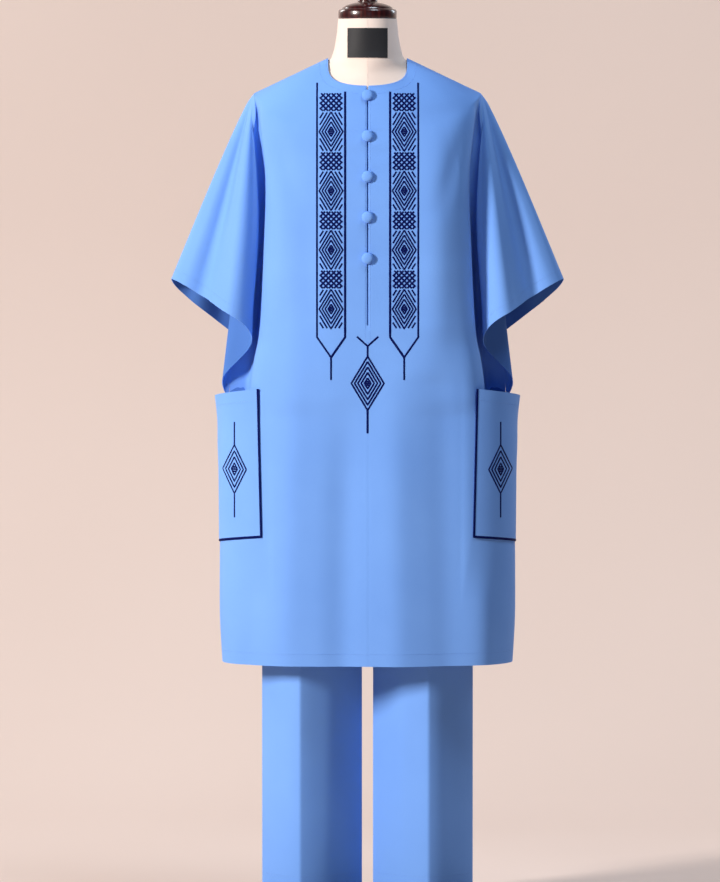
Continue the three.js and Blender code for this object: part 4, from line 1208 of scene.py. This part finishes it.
def jersey(name, base, shade):
    """Fine knitted cover of the form."""
    look = Look(name, roughness=0.82, specular_ior_level=0.2, sheen_weight=0.25, sheen_roughness=0.5)
    place = look.coordinates()
    tone = look.ramp(look.noise(place, 7.0, 4.0), 0.3, 0.75)
    ribs = look.wave(look.coordinates(scale=(1, 1, 0.0)), 0.0012, 0.3)
    knit = look.math("MULTIPLY", ribs, look.wave(place, 0.0010, 0.3, "Z"))
    fuzz = look.math("MULTIPLY", look.noise(place, 1200.0, 2.0), 0.5)
    return look.finish(look.mixed(tone, base, shade), look.math("ADD", knit, fuzz), 0.00012, 0.4)


def woven_label(name, base, light):
    look = Look(name, roughness=0.6, specular_ior_level=0.35, sheen_weight=0.2)
    flat = look.coordinates("UV")
    ribs = look.math("MULTIPLY", look.wave(flat, 0.0009), look.wave(flat, 0.0009, direction="Y"))
    return look.finish(look.mixed(ribs, base, light), ribs, 0.0001, 0.5)


def turned_wood(name, base, light):
    """Dark lacquered wood with upright grain."""
    look = Look(name, roughness=0.3, specular_ior_level=0.5, coat_weight=0.7, coat_roughness=0.08)
    place = look.coordinates(scale=(1, 1, 0.12))
    grain = look.noise(place, 160.0, 6.0)
    factor = look.math("MULTIPLY", look.ramp(grain, 0.3, 0.75), look.wave(place, 0.009, 5.0))
    return look.finish(look.mixed(factor, base, light), grain, 0.00005, 0.25)


def satin_steel(name, base, light):
    look = Look(name, metallic=1.0)
    brushed = look.noise(look.coordinates(scale=(1, 1, 60)), 30.0, 5.0)
    rough = look.node("ShaderNodeMapRange", Value=brushed, To_Min=0.25, To_Max=0.42)
    look.link(rough.outputs["Result"], "Roughness")
    return look.finish(look.mixed(brushed, base, light), brushed, 0.00003, 0.3)


def powder_coat(name, base, light):
    look = Look(name, roughness=0.5, specular_ior_level=0.45)
    place = look.coordinates()
    wear = look.ramp(look.noise(place, 14.0, 5.0), 0.45, 0.9)
    return look.finish(look.mixed(wear, base, light), look.noise(place, 700.0, 3.0), 0.0002, 0.5)


def plain_wall(name, base, light):
    """Matte wall and floor, clear from behind so that the suit shows from every side."""
    look = Look(name, roughness=0.9, specular_ior_level=0.1, emission_strength=0.12,
                emission_color=linear(base))
    behind = look.node("ShaderNodeNewGeometry").outputs["Backfacing"]
    clear = look.node("ShaderNodeBsdfTransparent").outputs["BSDF"]
    both = look.node("ShaderNodeMixShader", i0=behind, i1=look.shader.outputs["BSDF"], i2=clear)
    look.tree.links.new(both.outputs["Shader"], look.tree.nodes["Material Output"].inputs["Surface"])
    return look.finish(look.mixed(look.noise(look.coordinates(), 0.6, 2.0), base, light))


LOOKS = {
    "suit": suiting("suit_twill", "70a0ea", "77a8f0", "6999e4"),
    # Darker blue on the inner face of all suit cloth: painted shade for the dark hollows inside the sleeves
    # and hems.
    "inside": suiting("suit_inside_painted_shade", "4a76c2", "507ecc", "4470b8"),
    # Darker blue for the strip behind the slit: painted shade that makes the slit read as a dark line.
    "placket": suiting("suit_placket_painted_shade", "3f69b4", "5480c8", "35599c"),
    "thread": satin_thread("navy_satin_thread", "000b48", "01135c"),
    "stitch": sewing_thread("blue_sewing_thread", "5f8edb", "80adf2"),
    "form": jersey("cream_jersey", "efded4", "e3cfc1"),
    "label": woven_label("black_label_weave", "111115", "24242a"),
    "wood": turned_wood("lacquered_wood", "2b0a09", "531a15"),
    "steel": satin_steel("satin_steel", "a5a8ac", "c8cacd"),
    "plate": powder_coat("black_powder_coat", "222226", "34343a"),
}


def finish_piece(piece, look, slot, *nodes):
    """Gives a piece its material, its body and the CAD nodes that it stands for."""
    piece.data.materials.clear()
    piece.data.materials.append(LOOKS[look])
    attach(piece, "root")
    if nodes:
        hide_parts(*nodes)
    # Suit cloth gets the darker inner face, painted shade inside the sleeves and hems.
    if look == "suit" and "wall" in piece.modifiers:
        piece.data.materials.append(LOOKS["inside"])
        piece.modifiers["wall"].material_offset = 1
    return piece


def build_suit():
    """Every cloth piece of the suit, by its node's name."""
    cloth = {f"tunic_{face}": body_panel(face) for face in WAY}
    for label, side in SIDES:
        cloth[f"sleeve_{label}"] = sleeve(side, f"sleeve_{label}_cloth")
        cloth[f"pocket_{label}"] = pocket(side, f"pocket_{label}_cloth")
        for face in WAY:
            node = f"trouser_{face}_{label}"
            cloth[node] = trouser_panel(side, face, f"{node}_cloth")
    cloth["trouser_waistband"] = waistband()
    cloth["placket_underlap"] = placket()
    for node, piece in cloth.items():
        # The strip behind the slit takes the darker placket cloth, painted shade in the slit.
        finish_piece(piece, "placket" if node == "placket_underlap" else "suit", "suit", node)
    return cloth


def build_form():
    finish_piece(form_torso(), "form", "form", "form_torso")
    patch = finish_piece(neck_patch(), "label", "label", "neck_patch")
    finish_piece(turned("neck_cap_turned", CAP_PROFILE, CAP_FOOT_Z), "wood", "wood", "neck_cap")
    finish_piece(turned("neck_finial_turned", FINIAL_PROFILE, FINIAL_FOOT_Z), "wood", "wood", "neck_finial")
    for label, side in SIDES:
        finish_piece(rod(side, f"rod_{label}_tube"), "steel", "steel", f"rod_{label}")
    finish_piece(plate(), "plate", "plate", "base_plate")
    seam = Thread()
    for face, way in WAY.items():
        line = [(0, way * (column(FORM, face, z) + 0.05), z) for z in np.linspace(1604, 860, 260)]
        seam.strip(line, [(0, way, 0)] * len(line), FORM_SEAM_WIDTH, FORM_SEAM_RISE)
    finish_piece(seam.piece("form_centre_seams"), "form", "form")


cloth = build_suit()
build_form()
for number, z in enumerate(BUTTON_HEIGHTS, 1):
    finish_piece(button(number, z), "suit", "suit", f"button_{number}")
finish_piece(chest_embroidery(cloth["tunic_front"]), "thread", "thread")
for label, side in SIDES:
    motif = pocket_embroidery(cloth[f"pocket_{label}"], side, f"pocket_embroidery_{label}")
    finish_piece(motif, "thread", "thread")
finish_piece(all_stitching(cloth), "stitch", "thread")


# Stage: a pale floor that sweeps up behind
STAGE_HALF_WIDTH = 9000
STAGE_FRONT_Y = -9000
STAGE_BACK_Y = 2600
STAGE_HEIGHT = 6000
SWEEP_RADIUS = 1200


def stage():
    sweep_y = STAGE_BACK_Y - SWEEP_RADIUS
    line = [(STAGE_FRONT_Y, 0), (sweep_y, 0)]
    for turn in np.linspace(0, math.pi / 2, 13)[1:]:
        line.append((sweep_y + SWEEP_RADIUS * math.sin(turn), SWEEP_RADIUS * (1 - math.cos(turn))))
    line.append((STAGE_BACK_Y, STAGE_HEIGHT))
    points = [(x, y, z) for y, z in line for x in (-STAGE_HALF_WIDTH, STAGE_HALF_WIDTH)]
    sweep = add_piece("stage_sweep", points, [face for _, _, face in quads(len(line), 2)])
    sweep.data.materials.append(plain_wall("warm_plaster", "e2d2c9", "d4c2b8"))


def area_light(name, place, target, size, power, color, spread=180):
    light = bpy.data.lights.new(name, "AREA")
    light.shape = "RECTANGLE"
    light.size, light.size_y = size
    light.energy = power
    light.color = color
    light.spread = math.radians(spread)
    put(name, light, place, target)


# Camera and lights, in metres
CHEST = (0, 0, 1.1)
CAMERA_DISTANCE = 11.0
CAMERA_ELEVATION = 2.8
CAMERA_TARGET = (-0.0135, 0.0, 0.849)
FRAME_HEIGHT = 1.5876
SENSOR = 36.0


def camera():
    lens = bpy.data.cameras.new("photo_camera")
    lens.sensor_fit = "VERTICAL"
    lens.sensor_height = SENSOR
    lens.lens = SENSOR * CAMERA_DISTANCE / FRAME_HEIGHT
    lens.clip_end = 100
    up = math.radians(CAMERA_ELEVATION)
    x, y, z = CAMERA_TARGET
    place = (x, y - CAMERA_DISTANCE * math.cos(up), z + CAMERA_DISTANCE * math.sin(up))
    bpy.context.scene.camera = put("photo_camera", lens, place, CAMERA_TARGET)


def sky():
    """Dim bluish light from all round, which the camera sees as a pale warm wall."""
    world = bpy.data.worlds.new("studio")
    world.use_nodes = True
    nodes, links = world.node_tree.nodes, world.node_tree.links
    dim, pale = nodes["Background"], nodes.new("ShaderNodeBackground")
    dim.inputs["Color"].default_value = linear("8fb4f2")
    dim.inputs["Strength"].default_value = 0.05
    pale.inputs["Color"].default_value = linear("dccabf")
    both = nodes.new("ShaderNodeMixShader")
    seen = nodes.new("ShaderNodeLightPath").outputs["Is Camera Ray"]
    for k, source in enumerate((seen, dim.outputs["Background"], pale.outputs["Background"])):
        links.new(source, both.inputs[k])
    links.new(both.outputs["Shader"], nodes["World Output"].inputs["Surface"])
    bpy.context.scene.world = world


stage()
camera()
area_light("key", (-4.35, -3.45, 2.7), (0, 0, 0.95), (0.8, 1.2), 106, (1.0, 0.92, 0.86), 90)
area_light("fill", (0.6, -5.8, 1.6), (0, 0, 0.95), (1.6, 2.2), 1, (0.40, 0.72, 1.0), 90)
area_light("top", (1.0, -1.2, 4.2), (0.1, 0, 1.4), (1.2, 1.2), 54, (0.80, 0.90, 1.0))
area_light("back_left", (-2.4, 1.9, 2.8), CHEST, (0.8, 1.4), 40, (1.0, 0.98, 0.96))
area_light("back_right", (2.6, 1.9, 2.6), CHEST, (0.7, 1.3), 24, (0.78, 0.89, 1.0))
sky()
bpy.context.scene.view_settings.view_transform = "Standard"
